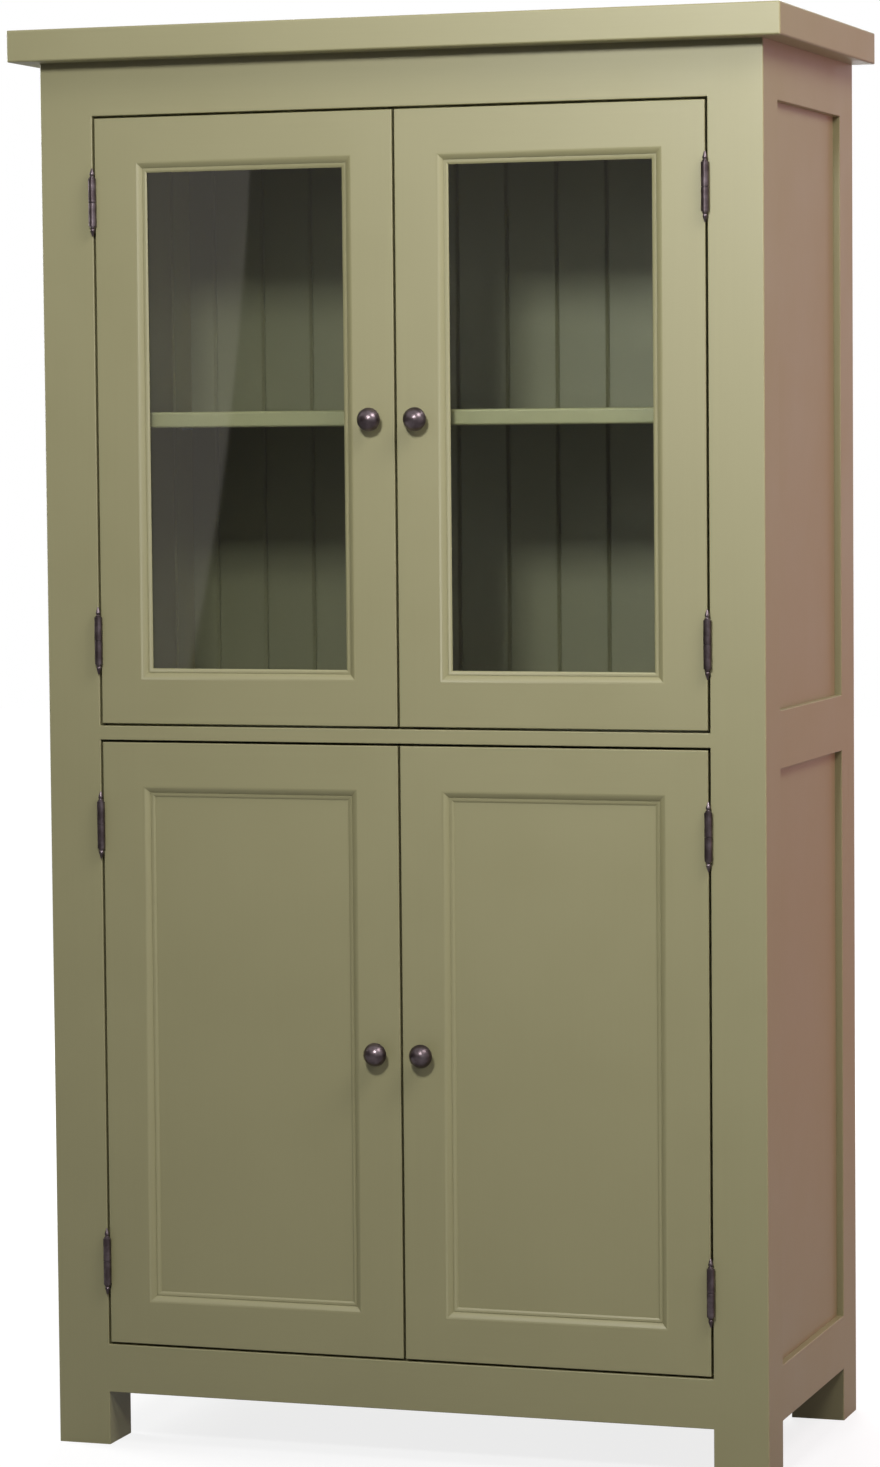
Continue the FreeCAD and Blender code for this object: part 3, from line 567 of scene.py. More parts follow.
def rounded_slab(low: Sequence[float], high: Sequence[float], axis: int, corner: float,
                 ease: float, steps: int = 5) -> tuple[np.ndarray, list]:
    """A slab with rounded corners and eased arrises.

    Its outline is a rectangle with quarter-round corners. The section through
    the thickness draws that outline in by ease (1 - sin t) while it climbs by
    ease (1 - cos t), at both faces.

    Args:
        low: Lowest corner, in millimetres.
        high: Highest corner.
        axis: The axis of the thickness: 0, 1 or 2.
        corner: Radius of the corners.
        ease: Radius of the arrises.
        steps: Points in each quarter round.

    Returns:
        The points, in metres, and the faces, which point outwards.
    """
    least_corner_share = 0.05
    first, second = [(1, 2), (2, 0), (0, 1)][axis]
    low, high = np.array(low, float) * MM, np.array(high, float) * MM
    corner, ease = corner * MM, ease * MM
    middle, half = (low + high) / 2, (high - low) / 2
    quarter = np.linspace(0, 90, steps)
    turn = np.radians(np.concatenate([quarter + 90 * k for k in range(4)]))
    sign_a = np.repeat([1, -1, -1, 1], steps)
    sign_b = np.repeat([1, 1, -1, -1], steps)
    climb = np.radians(quarter)
    drawn_in, lifted = ease * (1 - np.sin(climb)), ease * (1 - np.cos(climb))
    inset = np.concatenate([drawn_in, drawn_in[::-1]])
    rise = np.concatenate([lifted - half[axis], half[axis] - lifted[::-1]])
    reach = np.maximum(corner - inset, corner * least_corner_share)[:, None]
    shrink = (inset - (corner - reach[:, 0]))[:, None]
    grid = np.zeros((len(rise), len(turn), 3))
    grid[..., first] = middle[first] + sign_a * (half[first] - corner - shrink) + reach * np.cos(turn)
    grid[..., second] = middle[second] + sign_b * (half[second] - corner - shrink) + reach * np.sin(turn)
    grid[..., axis] = middle[axis] + rise[:, None]
    count = len(turn)
    faces = ring_faces(len(rise), count).tolist()
    faces.append(list(range(count))[::-1])
    faces.append([(len(rise) - 1) * count + i for i in range(count)])
    return grid.reshape(-1, 3), faces


@dataclass
class Door:
    """One door: where it hangs and how its frame is laid out, in millimetres."""

    level: str
    side: Side
    bottom: float
    top: float
    bottom_rail: float
    catch_z: float
    catch_up: int
    face_y: float = -215.0
    thickness: float = 22.0
    hinge_edge_x: float = 397.0
    meeting_edge_x: float = 1.5
    stile: float = 54.0
    top_rail: float = 55.0
    fixing_inset: float = 28.5
    hinge_inset: float = 105.0

    @property
    def name(self) -> str:
        """The start of the names of this door's nodes."""
        return f"{self.level}_{self.side.name.lower()}"

    @property
    def body(self) -> str:
        """The CAD body that the door's pieces ride on."""
        return f"{self.name}_door"

    @property
    def opening(self) -> tuple[float, float, float, float]:
        """Left, bottom, right and top of the hole in the right-hand door frame."""
        return (self.meeting_edge_x + self.stile, self.bottom + self.bottom_rail,
                self.hinge_edge_x - self.stile, self.top - self.top_rail)

    @property
    def fixing_x(self) -> float:
        """The X of the knob and the catch on the right-hand door."""
        return self.meeting_edge_x + self.fixing_inset

    @property
    def hinge_heights(self) -> tuple[float, float]:
        """The Z of the middles of its two hinges."""
        return self.bottom + self.hinge_inset, self.top - self.hinge_inset

    def to_side(self, points: np.ndarray, faces: list) -> tuple[np.ndarray, list]:
        """Mirror a right-hand mesh for a left-hand door.

        X changes sign and each face's order is reversed, so that it still
        points outwards.

        Args:
            points: Vertices of the right-hand mesh.
            faces: Its faces.

        Returns:
            The points and faces for this door's side.
        """
        if self.side is Side.RIGHT:
            return points, faces
        return points * np.array([-1.0, 1.0, 1.0]), [list(f)[::-1] for f in faces]


@dataclass
class DoorMoulding:
    """The planted moulding in front of the glass or panel, mitred at the corners.

    Its section, from the door's frame inwards, is an ovolo, a narrow quirk and
    a second, smaller round that falls to the glass or panel.
    """

    door: Door
    width: float = 14.0
    depth: float = 7.0
    edge: float = 0.3
    ovolo_width: float = 8.2
    ovolo_drop: float = 4.8
    ovolo_slope_deg: float = 15.0
    quirk_width: float = 1.2
    quirk_drop: float = 0.5
    round_slope_deg: float = 10.0
    crease_deg: float = 30.0

    def section(self) -> np.ndarray:
        """The section: two falling arcs with a notch between them.

        The notch is the quirk, and its floor is level.

        Returns:
            Width and depth of each point, in millimetres.
        """
        past_quirk = self.ovolo_width + self.quirk_width
        quirk_floor = self.ovolo_drop + self.quirk_drop
        start = np.array([past_quirk, self.ovolo_drop])
        end = np.array([self.width, self.depth - self.edge])
        return np.vstack([falling_arc(self.ovolo_width, self.ovolo_drop, self.ovolo_slope_deg),
                          [[self.ovolo_width, quirk_floor], [past_quirk, quirk_floor]],
                          start + falling_arc(*(end - start), self.round_slope_deg),
                          [[self.width, self.depth], [0.0, self.depth]]])

    def build(self, material: bpy.types.Material) -> bpy.types.Object:
        """Carry the section round the opening of the door's frame.

        At corner k the point (w, d) of the section lies at the corner plus w
        along both inward directions, and d behind the door's face, so the
        four lengths meet in mitres.

        Args:
            material: The paint.

        Returns:
            The moulding, riding on its door.
        """
        left, bottom, right, top = self.door.opening
        section = self.section()
        corners = np.array([[left, bottom], [right, bottom], [right, top], [left, top]])
        inward = np.array([[1, 1], [-1, 1], [-1, -1], [1, -1]])
        grid = np.zeros((4, len(section), 3))
        grid[..., 0] = corners[:, None, 0] + inward[:, None, 0] * section[None, :, 0]
        grid[..., 1] = self.door.face_y + section[None, :, 1]
        grid[..., 2] = corners[:, None, 1] + inward[:, None, 1] * section[None, :, 0]
        faces = [f[::-1] for f in ring_faces(4, len(section), close_rows=True).tolist()]
        points, faces = self.door.to_side(grid.reshape(-1, 3) * MM, faces)
        piece = skin(f"{self.door.name}_mitred_moulding", points, faces, material, self.crease_deg)
        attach(piece, self.door.body)
        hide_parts(f"{self.door.name}_moulding")
        return piece


@dataclass(frozen=True)
class ScrewHead:
    """A screw's head with a slot: countersunk and flush, or domed and proud."""

    radius: float
    height: float
    domed: bool = False
    slot_width: float = 0.9
    slot_depth: float = 0.7
    slot_reach_share: float = 0.9
    dome_fall_share: float = 0.5
    rim_share: float = 0.85
    steps: int = 32

    def mesh(self, seat: Sequence[float], out: Sequence[float],
             turn_deg: float = 20.0) -> tuple[np.ndarray, list]:
        """The head as a polar grid whose top is lowered inside the slot.

        Height at radius r and angle t is the crown, h (1 - (r / R)^2 / 2) if
        domed and flat if not, less the slot's depth where the distance from
        the slot's line, |r sin(t - turn)|, is under half its width.

        Args:
            seat: The middle of the head's base, in millimetres.
            out: The direction that the head faces.
            turn_deg: The slot's direction.

        Returns:
            The points, in metres, and the faces.
        """
        shares = np.array([0.999, 1.0, 0.97, 0.8, 0.6, 0.4, 0.25, 0.12])
        angle, spokes, along = spokes_about(out, self.steps)
        r = shares[:, None] * self.radius
        off_line = np.abs(r * np.sin(angle - math.radians(turn_deg)))
        fall = self.dome_fall_share if self.domed else 0.0
        crown = self.height * (1 - (r / self.radius) ** 2 * fall) * np.ones_like(off_line)
        in_slot = (off_line < self.slot_width / 2) & (r < self.radius * self.slot_reach_share)
        height = np.where(in_slot, crown - self.slot_depth, crown)
        height[0] = 0.0
        height[1] = crown[1] * self.rim_share
        grid = (r[..., None] * spokes + height[..., None] * along) * MM
        middle = along * (self.height - self.slot_depth) * MM
        points = np.vstack([grid.reshape(-1, 3), middle[None], np.zeros((1, 3))]) + np.array(seat) * MM
        hub = len(shares) * self.steps
        faces = ring_faces(len(shares), self.steps).tolist() + fan(hub, hub - self.steps, self.steps)
        return points, faces + fan(hub + 1, 0, self.steps, backwards=True)


@dataclass
class DoorKnob:
    """A turned mushroom knob and the head of the bolt behind it."""

    door: Door
    radius: float = 15.0
    projection: float = 28.0
    tip_radius: float = 0.02
    crease_deg: float = 50.0
    bolt: ScrewHead = ScrewHead(radius=4.5, height=2.5, domed=True)

    def outline(self) -> np.ndarray:
        """A flat rose, a concave neck, a swelling underside and a crown.

        All but the crown are a smooth curve through listed shares of
        radius and projection. The crown is one arc that is level at its top.
        It starts s from the axis and rises by d, so its radius is
        (s^2 + d^2) / 2 d.

        Returns:
            Radius and height of each point, in millimetres.
        """
        shares = np.array([[0.60, 0.0], [0.60, 0.05], [0.57, 0.08], [0.46, 0.13], [0.38, 0.22], [0.36, 0.30],
                           [0.39, 0.36], [0.52, 0.415], [0.74, 0.45], [0.93, 0.475], [0.985, 0.51],
                           [1.0, 0.55], [0.98, 0.61]])
        body = shares * np.array([self.radius, self.projection])
        start, rise = body[-1, 0], self.projection - body[-1, 1]
        crown_r = (start ** 2 + rise ** 2) / (2 * rise)
        first = math.degrees(math.asin((crown_r - rise) / crown_r))
        crown = arc((0.0, self.projection - crown_r), crown_r, first, 90, 14)[1:]
        crown[-1, 0] = self.tip_radius
        return np.vstack([body, crown])

    def build(self, palette: Palette) -> list[bpy.types.Object]:
        """Turn the knob and set the bolt's head behind the stile.

        Args:
            palette: The finishes.

        Returns:
            The knob and the bolt's head.
        """
        door = self.door
        face = np.array([door.fixing_x, door.face_y, (door.bottom + door.top) / 2])
        turned = turned_points(self.outline(), face, (0, -1, 0), 48)
        knob = skin(f"{door.name}_turned_knob", *door.to_side(*turned), palette.bronze, self.crease_deg)
        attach(knob, door.body)
        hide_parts(f"{door.name}_knob")
        head = self.bolt.mesh(face + np.array([0, door.thickness, 0]), (0, 1, 0))
        bolt = skin(f"{door.name}_knob_bolt_head", *door.to_side(*head), palette.steel)
        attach(bolt, door.body)
        return [knob, bolt]


@dataclass
class HingePair:
    """The two lift-off hinges of a door: barrels, finials, leaves and screws."""

    door: Door
    pivot_x: float = 398.5
    pivot_y: float = -220.3
    barrel: float = 5.0
    length: float = 60.0
    knuckle_play: float = 0.3
    knuckle_ease: float = 0.4
    leaf_width: float = 20.0
    leaf_relief: float = 0.5
    leaf_corner: float = 2.0
    leaf_ease: float = 0.2
    tongue_corner: float = 0.4
    tongue_start: float = 1.0
    tongue_reach: float = 3.0
    finial_radius: float = 3.6
    finial_height: float = 13.0
    frame_leaf_x: tuple[float, float] = (399.0, 401.0)
    door_leaf_x: tuple[float, float] = (396.0, 398.0)
    screw: ScrewHead = ScrewHead(radius=3.1, height=0.25)
    screw_sunk: float = 0.2
    screw_y_share: float = 0.6
    screw_z_shares: tuple[float, ...] = (-0.36, 0.0, 0.36)
    first_slot_deg: float = 25.0
    slot_step_deg: float = 70.0

    def barrel_outline(self) -> np.ndarray:
        """The outline from a knuckle's open end to the tip of its finial.

        The knuckle is a cylinder with eased ends. The finial is a collar, a
        neck, a bulb and a long taper, a smooth curve through listed shares
        of its radius and height.

        Returns:
            Radius and height of each point, in millimetres.
        """
        near, half = self.knuckle_play / 2, self.length / 2
        eased = self.barrel - self.knuckle_ease
        knuckle = np.array([[eased, near], [self.barrel, near + self.knuckle_ease],
                            [self.barrel, half - self.knuckle_ease], [eased, half]])
        shares = np.array([[1.0, 0.0], [1.0, 0.1], [0.92, 0.125], [0.7, 0.17], [0.64, 0.22], [0.74, 0.27],
                           [0.84, 0.33], [0.87, 0.39], [0.84, 0.46], [0.74, 0.56], [0.56, 0.7], [0.4, 0.83],
                           [0.28, 0.93], [0.18, 0.98], [0.02, 1.0]])
        finial = shares * np.array([self.finial_radius, self.finial_height]) + np.array([0, half])
        return np.vstack([knuckle, finial])

    def half_mesh(self, z: float, up: int, leaf_x: tuple[float, float]) -> tuple[np.ndarray, list]:
        """A knuckle with its finial, its leaf, and the tongue between them.

        Args:
            z: Height of the hinge's middle, in millimetres.
            up: 1 for the upper knuckle, -1 for the lower one.
            leaf_x: The X of the leaf's two faces.

        Returns:
            The points and the faces of the right-hand piece.
        """
        half, front = self.length / 2, self.door.face_y
        barrel = turned_points(self.barrel_outline(), (self.pivot_x, self.pivot_y, z), (0, 0, up), 28)
        plate = rounded_slab((leaf_x[0], front + self.leaf_relief, z - half),
                             (leaf_x[1], front + self.leaf_width, z + half), 0,
                             self.leaf_corner, self.leaf_ease)
        low, high = sorted((z + up * self.knuckle_play / 2, z + up * half))
        tongue = rounded_slab((leaf_x[0], self.pivot_y + self.tongue_start, low),
                              (leaf_x[1], front + self.tongue_reach, high), 0,
                              self.tongue_corner, self.leaf_ease, 3)
        return joined([barrel, plate, tongue])

    def screws(self, z: float, out: int, leaf_x: tuple[float, float]) -> list[tuple[np.ndarray, list]]:
        """Countersunk heads flush with a leaf's open face.

        Args:
            z: Height of the hinge's middle, in millimetres.
            out: The sign of X that the heads face.
            leaf_x: The X of the leaf's two faces.

        Returns:
            The meshes of the heads.
        """
        x = (leaf_x[1] if out > 0 else leaf_x[0]) - out * self.screw_sunk
        y = self.door.face_y + self.leaf_width * self.screw_y_share
        return [self.screw.mesh((x, y, z + self.length * share), (out, 0, 0),
                                self.first_slot_deg + self.slot_step_deg * k)
                for k, share in enumerate(self.screw_z_shares)]

    def build(self, palette: Palette) -> list[bpy.types.Object]:
        """Make the door's leaves and the frame's leaves with their screws.

        The door has the upper knuckles, and its screws face away from its
        middle.

        Args:
            palette: The finishes.

        Returns:
            The pieces.
        """
        door = self.door
        pieces = []
        for owner, body, way, leaf_x in (("door", door.body, 1, self.door_leaf_x),
                                         ("frame", "carcass", -1, self.frame_leaf_x)):
            metal = joined([self.half_mesh(z, way, leaf_x) for z in door.hinge_heights])
            leaves = skin(f"{door.name}_{owner}_hinge_halves", *door.to_side(*metal), palette.bronze)
            heads = joined([m for z in door.hinge_heights for m in self.screws(z, way, leaf_x)])
            screws = skin(f"{door.name}_{owner}_hinge_screws", *door.to_side(*heads), palette.bronze)
            for piece in (leaves, screws):
                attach(piece, body)
                pieces.append(piece)
            if owner == "door":
                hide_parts(f"{door.name}_hinge_leaves")
            elif door.name == "upper_left":
                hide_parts("hinge_frame_leaves")
        return pieces


@dataclass
class HingePins:
    """The fixed pins that show when a door is lifted off its hinges."""

    doors: list[Door]
    radius: float = 2.5
    reach: float = 22.0
    root: float = 24.0
    ease: float = 0.5

    def build(self, palette: Palette) -> bpy.types.Object:
        """Make all the pins as one piece of the carcass.

        Args:
            palette: The finishes.

        Returns:
            The pins.
        """
        outline = np.array([[self.radius, -self.root], [self.radius, self.reach - self.ease],
                            [self.radius - self.ease, self.reach]])
        meshes = []
        for door in self.doors:
            pair = HingePair(door)
            for z in door.hinge_heights:
                pin = turned_points(outline, (pair.pivot_x, pair.pivot_y, z), (0, 0, 1), 20)
                meshes.append(door.to_side(*pin))
        pins = skin("hinge_pins", *joined(meshes), palette.steel)
        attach(pins, "carcass")
        return pins


@dataclass
class DoorCatch:
    """A magnetic catch on the divider and the strike plate on its door."""

    door: Door
    width: float = 40.0
    depth: float = 16.0
    height: float = 13.0
    case_corner: float = 1.2
    case_ease: float = 0.4
    ear: float = 9.0
    ear_height: float = 2.0
    ear_corner: float = 3.5
    ear_depth_shares: tuple[float, float] = (0.25, 0.75)
    magnet_width: float = 18.8
    magnet_height: float = 7.0
    magnet_corner: float = 0.6
    magnet_ease: float = 0.15
    magnet_root: float = 3.0
    proud: float = 0.6
    strike_play: float = 0.3
    strike: float = 1.2
    strike_width: float = 36.0
    case_screw: ScrewHead = ScrewHead(radius=2.4, height=1.0, domed=True)
    case_slot_deg: float = 40.0
    strike_screw: ScrewHead = ScrewHead(radius=2.2, height=0.3)
    strike_slot_deg: float = 30.0
    strike_screw_share: float = 0.32
    strike_screw_sunk: float = 0.1

    def heights(self, low: float, high: float) -> tuple[float, float]:
        """Heights above or below the seat, in order of Z."""
        a, b = (self.door.catch_z + self.door.catch_up * height for height in (low, high))
        return min(a, b), max(a, b)

    def case(self, front: float) -> tuple[np.ndarray, list]:
        """The case and the thin ears that it is screwed down by.

        Args:
            front: The Y of the case's front.

        Returns:
            The points and the faces.
        """
        x, half = self.door.fixing_x, self.width / 2
        low, high = self.heights(0, self.height)
        block = rounded_slab((x - half + self.ear, front, low),
                             (x + half - self.ear, front + self.depth, high), 1,
                             self.case_corner, self.case_ease)
        near, far = (front + self.depth * share for share in self.ear_depth_shares)
        low, high = self.heights(0, self.ear_height)
        ears = rounded_slab((x - half, near, low), (x + half, far, high), 2,
                            self.ear_corner, self.case_ease)
        return joined([block, ears])

    def magnet(self, magnet_y: float) -> tuple[np.ndarray, list]:
        """The magnet, whose face stands proud of the case.

        Args:
            magnet_y: The Y of its face.

        Returns:
            The points and the faces.
        """
        x, half = self.door.fixing_x, self.magnet_width / 2
        middle = self.door.catch_z + self.door.catch_up * self.height / 2
        root_y = magnet_y + self.proud + self.magnet_root
        return rounded_slab((x - half, magnet_y, middle - self.magnet_height / 2),
                            (x + half, root_y, middle + self.magnet_height / 2),
                            1, self.magnet_corner, self.magnet_ease)

    def build(self, palette: Palette) -> list[bpy.types.Object]:
        """Make the case, its magnet and screws, and the strike plate's screws.

        Args:
            palette: The finishes.

        Returns:
            The pieces.
        """
        door = self.door
        x, up = door.fixing_x, door.catch_up
        magnet_y = door.face_y + door.thickness + self.strike + self.strike_play
        front = magnet_y + self.proud
        body = skin(f"{door.name}_catch_case", *door.to_side(*self.case(front)), palette.plastic)
        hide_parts("magnetic_catches")
        magnet = skin(f"{door.name}_catch_magnet", *door.to_side(*self.magnet(magnet_y)), palette.ferrite)
        reach = (self.width - self.ear) / 2
        seat_z = door.catch_z + up * self.ear_height
        heads = [self.case_screw.mesh((x + sign * reach, front + self.depth / 2, seat_z), (0, 0, up),
                                      self.case_slot_deg * sign) for sign in (-1, 1)]
        screws = skin(f"{door.name}_catch_screws", *door.to_side(*joined(heads)), palette.steel)
        for piece, name in ((body, "catch_plastic"), (magnet, "catch_plastic"), (screws, "zinc_steel")):
            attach(piece, "carcass")
        low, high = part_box(f"{door.name}_strike_plate")
        y, z = high.y / MM - self.strike_screw_sunk, (low.z + high.z) / 2 / MM
        reach = self.strike_width * self.strike_screw_share
        heads = [self.strike_screw.mesh((x + sign * reach, y, z), (0, 1, 0), self.strike_slot_deg * sign)
                 for sign in (-1, 1)]
        plate_screws = skin(f"{door.name}_strike_screws", *door.to_side(*joined(heads)), palette.steel)
        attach(plate_screws, door.body)
        return [body, magnet, screws, plate_screws]


@dataclass
class BackNails:
    """Round wire nails that hold the plank back to its rails and the divider."""

    edge_x: float = 460.0
    first: float = 48.0
    pitch: float = 69.2
    least_board: float = 8.0
    back_y: float = 250.0
    heights: tuple[float, ...] = (90.0, 121.0, 915.0, 1725.0)
    across_shares: tuple[float, float] = (0.25, 0.75)
    head: float = 2.6
    head_top: float = 0.3
    rim: float = 0.05
    dome: float = 0.25
    dome_share: float = 0.7
    tip_radius: float = 0.05
    sunk: float = 0.25

    def build(self, palette: Palette) -> bpy.types.Object:
        """Set two nails in each board at each height.

        Args:
            palette: The finishes.

        Returns:
            The nails' heads, as one piece.
        """
        joints = np.arange(-self.edge_x + self.first, self.edge_x - self.least_board, self.pitch)
        edges = np.concatenate([[-self.edge_x], joints, [self.edge_x]])
        outline = np.array([[self.head, -self.head_top], [self.head, self.rim],
                            [self.head * self.dome_share, self.dome], [self.tip_radius, self.head_top]])
        places = [left + (right - left) * share
                  for left, right in zip(edges, edges[1:]) for share in self.across_shares]
        meshes = [turned_points(outline, (x, self.back_y - self.sunk, z), (0, 1, 0), 12)
                  for x in places for z in self.heights]
        nails = skin("back_nails", *joined(meshes), palette.steel)
        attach(nails, "carcass")
        return nails


@dataclass
class CleatScrews:
    """Screws through the cleats into the side frames."""

    inner_x: float = 448.0
    cleat: float = 20.0
    under_z: tuple[float, float] = (112.0, 906.0)
    places_y: tuple[float, float, float] = (-120.0, 17.5, 155.0)
    screw: ScrewHead = ScrewHead(radius=3.6, height=0.3)
    sunk: float = 0.15
    first_slot_deg: float = 15.0
    slot_step_deg: float = 50.0

    def build(self, palette: Palette) -> bpy.types.Object:
        """Set three screws in each cleat.

        Args:
            palette: The finishes.

        Returns:
            The screws' heads, as one piece.
        """
        x = self.inner_x - self.cleat + self.sunk
        meshes = [self.screw.mesh((side.value * x, y, z - self.cleat / 2), (-side.value, 0, 0),
                                  self.first_slot_deg + self.slot_step_deg * k)
                  for side in Side for z in self.under_z for k, y in enumerate(self.places_y)]
        screws = skin("cleat_screws", *joined(meshes), palette.steel)
        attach(screws, "carcass")
        return screws


@dataclass
class Woodwork:
    """The CAD nodes that stay as they are, and the way their paint runs."""

    upright: tuple[str, ...] = ("stile", "stiles", "panel", "panels", "back_boards", "foot_blocks")
    deep: tuple[str, ...] = ("side_rails", "board_cleats")

    def grain_of(self, node: str) -> Grain:
        """The way that the brush marks run on a node.

        Args:
            node: The node's name.

        Returns:
            Upright on stiles and panels, front to back on side rails and
            cleats, and across on everything else.
        """
        if node.endswith(self.deep):
            return Grain.DEEP
        return Grain.UPRIGHT if node.endswith(self.upright) else Grain.ACROSS

    def dress(self, palette: Palette) -> int:
        """Give every CAD node its finish.

        Args:
            palette: The finishes.

        Returns:
            The number of nodes dressed.
        """
        # The back boards take the paint with painted shade on their inside faces.
        finishes = {"shelf_pins": palette.steel, "hinge_frame_leaves": palette.bronze,
                    "magnetic_catches": palette.plastic, "back_boards": palette.inside}
        for name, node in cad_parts.items():
            finish = finishes.get(name)
            if name.endswith("glass"):
                finish = palette.glass
            elif name.endswith("strike_plate"):
                finish = palette.steel
            elif name.endswith(("knob", "hinge_leaves")):
                finish = palette.bronze
            node.data.materials.clear()
            node.data.materials.append(finish or palette.paint[self.grain_of(name)])
        return len(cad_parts)


@dataclass
class PhotoCamera:
    """The camera, at the photograph's place and angle."""

    place_mm: tuple[float, float, float] = (1835.1, -5571.3, 1299.4)
    yaw_deg: float = 18.39
    pitch_deg: float = 3.85
    roll_deg: float = -0.53
    focal_px: float = 4569.6
    image_px: tuple[int, int] = (880, 1467)
    sensor_mm: float = 36.0
    clip_m: tuple[float, float] = (0.1, 60.0)

    def build(self) -> bpy.types.Object:
        """Set the camera up.

        It looks along (-sin yaw cos pitch, cos yaw cos pitch, -sin pitch), and
        its right and up axes are turned about that by the roll.

        Returns:
            The camera.
        """
        yaw, pitch, roll = (math.radians(a) for a in (self.yaw_deg, self.pitch_deg, self.roll_deg))
        ahead = Vector((-math.sin(yaw) * math.cos(pitch), math.cos(yaw) * math.cos(pitch), -math.sin(pitch)))
        level = Vector((math.cos(yaw), math.sin(yaw), 0))
        steep = level.cross(ahead)
        right = level * math.cos(roll) + steep * math.sin(roll)
        up = steep * math.cos(roll) - level * math.sin(roll)
        data = bpy.data.cameras.new("photo_camera")
        data.sensor_width = self.sensor_mm
        data.lens = self.sensor_mm * self.focal_px / max(self.image_px)
        data.clip_start, data.clip_end = self.clip_m
        camera = bpy.data.objects.new("photo_camera", data)
        axes = Matrix((right, up, -ahead)).transposed().to_4x4()
        camera.matrix_world = Matrix.Translation(Vector(self.place_mm) * MM) @ axes
        bpy.context.scene.collection.objects.link(camera)
        bpy.context.scene.camera = camera
        return camera


def hide_from(piece: bpy.types.Object, *rays: str) -> None:
    """Hide a piece from rays of these kinds, such as camera or shadow."""
    for ray in rays:
        setattr(piece, f"visible_{ray}", False)


def shown_share(tree: bpy.types.NodeTree, mirrored: float) -> bpy.types.NodeSocket:
    """How much a ray shows the backdrop: seen, through glass or mirrored.

    A ray that has left a matt surface carries light, and shows nothing.

    Args:
        tree: The node tree.
        mirrored: The share that a mirror shows.

    Returns:
        The socket that gives the share.
    """
    rays = add_node(tree, "ShaderNodeLightPath").outputs
    seen = add_node(tree, "ShaderNodeMath", {0: rays["Is Camera Ray"], 1: rays["Is Transmission Ray"]},
                    operation="MAXIMUM")
    mirror = add_node(tree, "ShaderNodeMath", {0: rays["Is Glossy Ray"]}, {1: mirrored},
                      operation="MULTIPLY")
    either = add_node(tree, "ShaderNodeMath", {0: seen.outputs[0], 1: mirror.outputs[0]},
                      operation="MAXIMUM")
    direct = add_node(tree, "ShaderNodeMath", {0: rays["Diffuse Depth"]}, {1: 0.5}, operation="LESS_THAN")
    shown = add_node(tree, "ShaderNodeMath", {0: either.outputs[0], 1: direct.outputs[0]},
                     operation="MULTIPLY")
    return shown.outputs[0]


@dataclass(frozen=True)
class Softbox:
    """A square lamp that points at a place, with sizes in metres and power in watts."""

    name: str
    place: tuple[float, float, float]
    aim: tuple[float, float, float]
    size: float
    power: float
    spread_deg: float = 180.0
    tint: str = "#FFFFFF"

    def hang(self) -> bpy.types.Object:
        """Hang the lamp, unseen by the camera, straight or through a pane.

        Returns:
            The lamp.
        """
        data = bpy.data.lights.new(self.name, "AREA")
        data.size, data.energy, data.spread = self.size, self.power, math.radians(self.spread_deg)
        data.color = linear(self.tint)[:3]
        lamp = bpy.data.objects.new(self.name, data)
        lamp.location = self.place
        lamp.rotation_euler = (Vector(self.aim) - Vector(self.place)).to_track_quat("-Z", "Y").to_euler()
        hide_from(lamp, "camera", "transmission")
        bpy.context.scene.collection.objects.link(lamp)
        return lamp


@dataclass(frozen=True)
class PaleFloor:
    """A plain pale floor that shows white and keeps the cupboard's shadow.

    Its glow climbs by a smooth step from the near level to white, between two
    distances from the cupboard.
    """

    reach: float = 14.0
    near_level: float = 0.82
    climb: tuple[float, float] = (1.0, 4.0)
    grey: float = 0.2
    mirrored: float = 0.3

    def build(self) -> bpy.types.Object:
        """Lay the floor.

        Returns:
            The floor.
        """
        material, tree = new_tree("pale_floor")
        place = add_node(tree, "ShaderNodeTexCoord").outputs["Object"]
        far = add_node(tree, "ShaderNodeVectorMath", {0: place}, operation="LENGTH")
        start, end = self.climb
        level = add_node(tree, "ShaderNodeMapRange", {"Value": far.outputs["Value"]},
                         {"From Min": start, "From Max": end, "To Min": self.near_level, "To Max": 1.0},
                         interpolation_type="SMOOTHSTEP")
        glow = add_node(tree, "ShaderNodeEmission", {"Strength": level.outputs[0]}, {"Color": WHITE})
        grey = (self.grey, self.grey, self.grey, 1)
        matt = add_node(tree, "ShaderNodeBsdfDiffuse", inputs={"Color": grey})
        pale = add_node(tree, "ShaderNodeAddShader", {0: glow.outputs[0], 1: matt.outputs[0]})
        mixed = add_node(tree, "ShaderNodeMixShader",
                         {0: shown_share(tree, self.mirrored), 1: matt.outputs[0], 2: pale.outputs[0]})
        add_node(tree, "ShaderNodeOutputMaterial", {"Surface": mixed.outputs[0]})
        points = self.reach * np.array([[-1, -1, 0], [1, -1, 0], [1, 1, 0], [-1, 1, 0]])
        floor = skin("floor", points, [[0, 1, 2, 3]], material)
        return floor


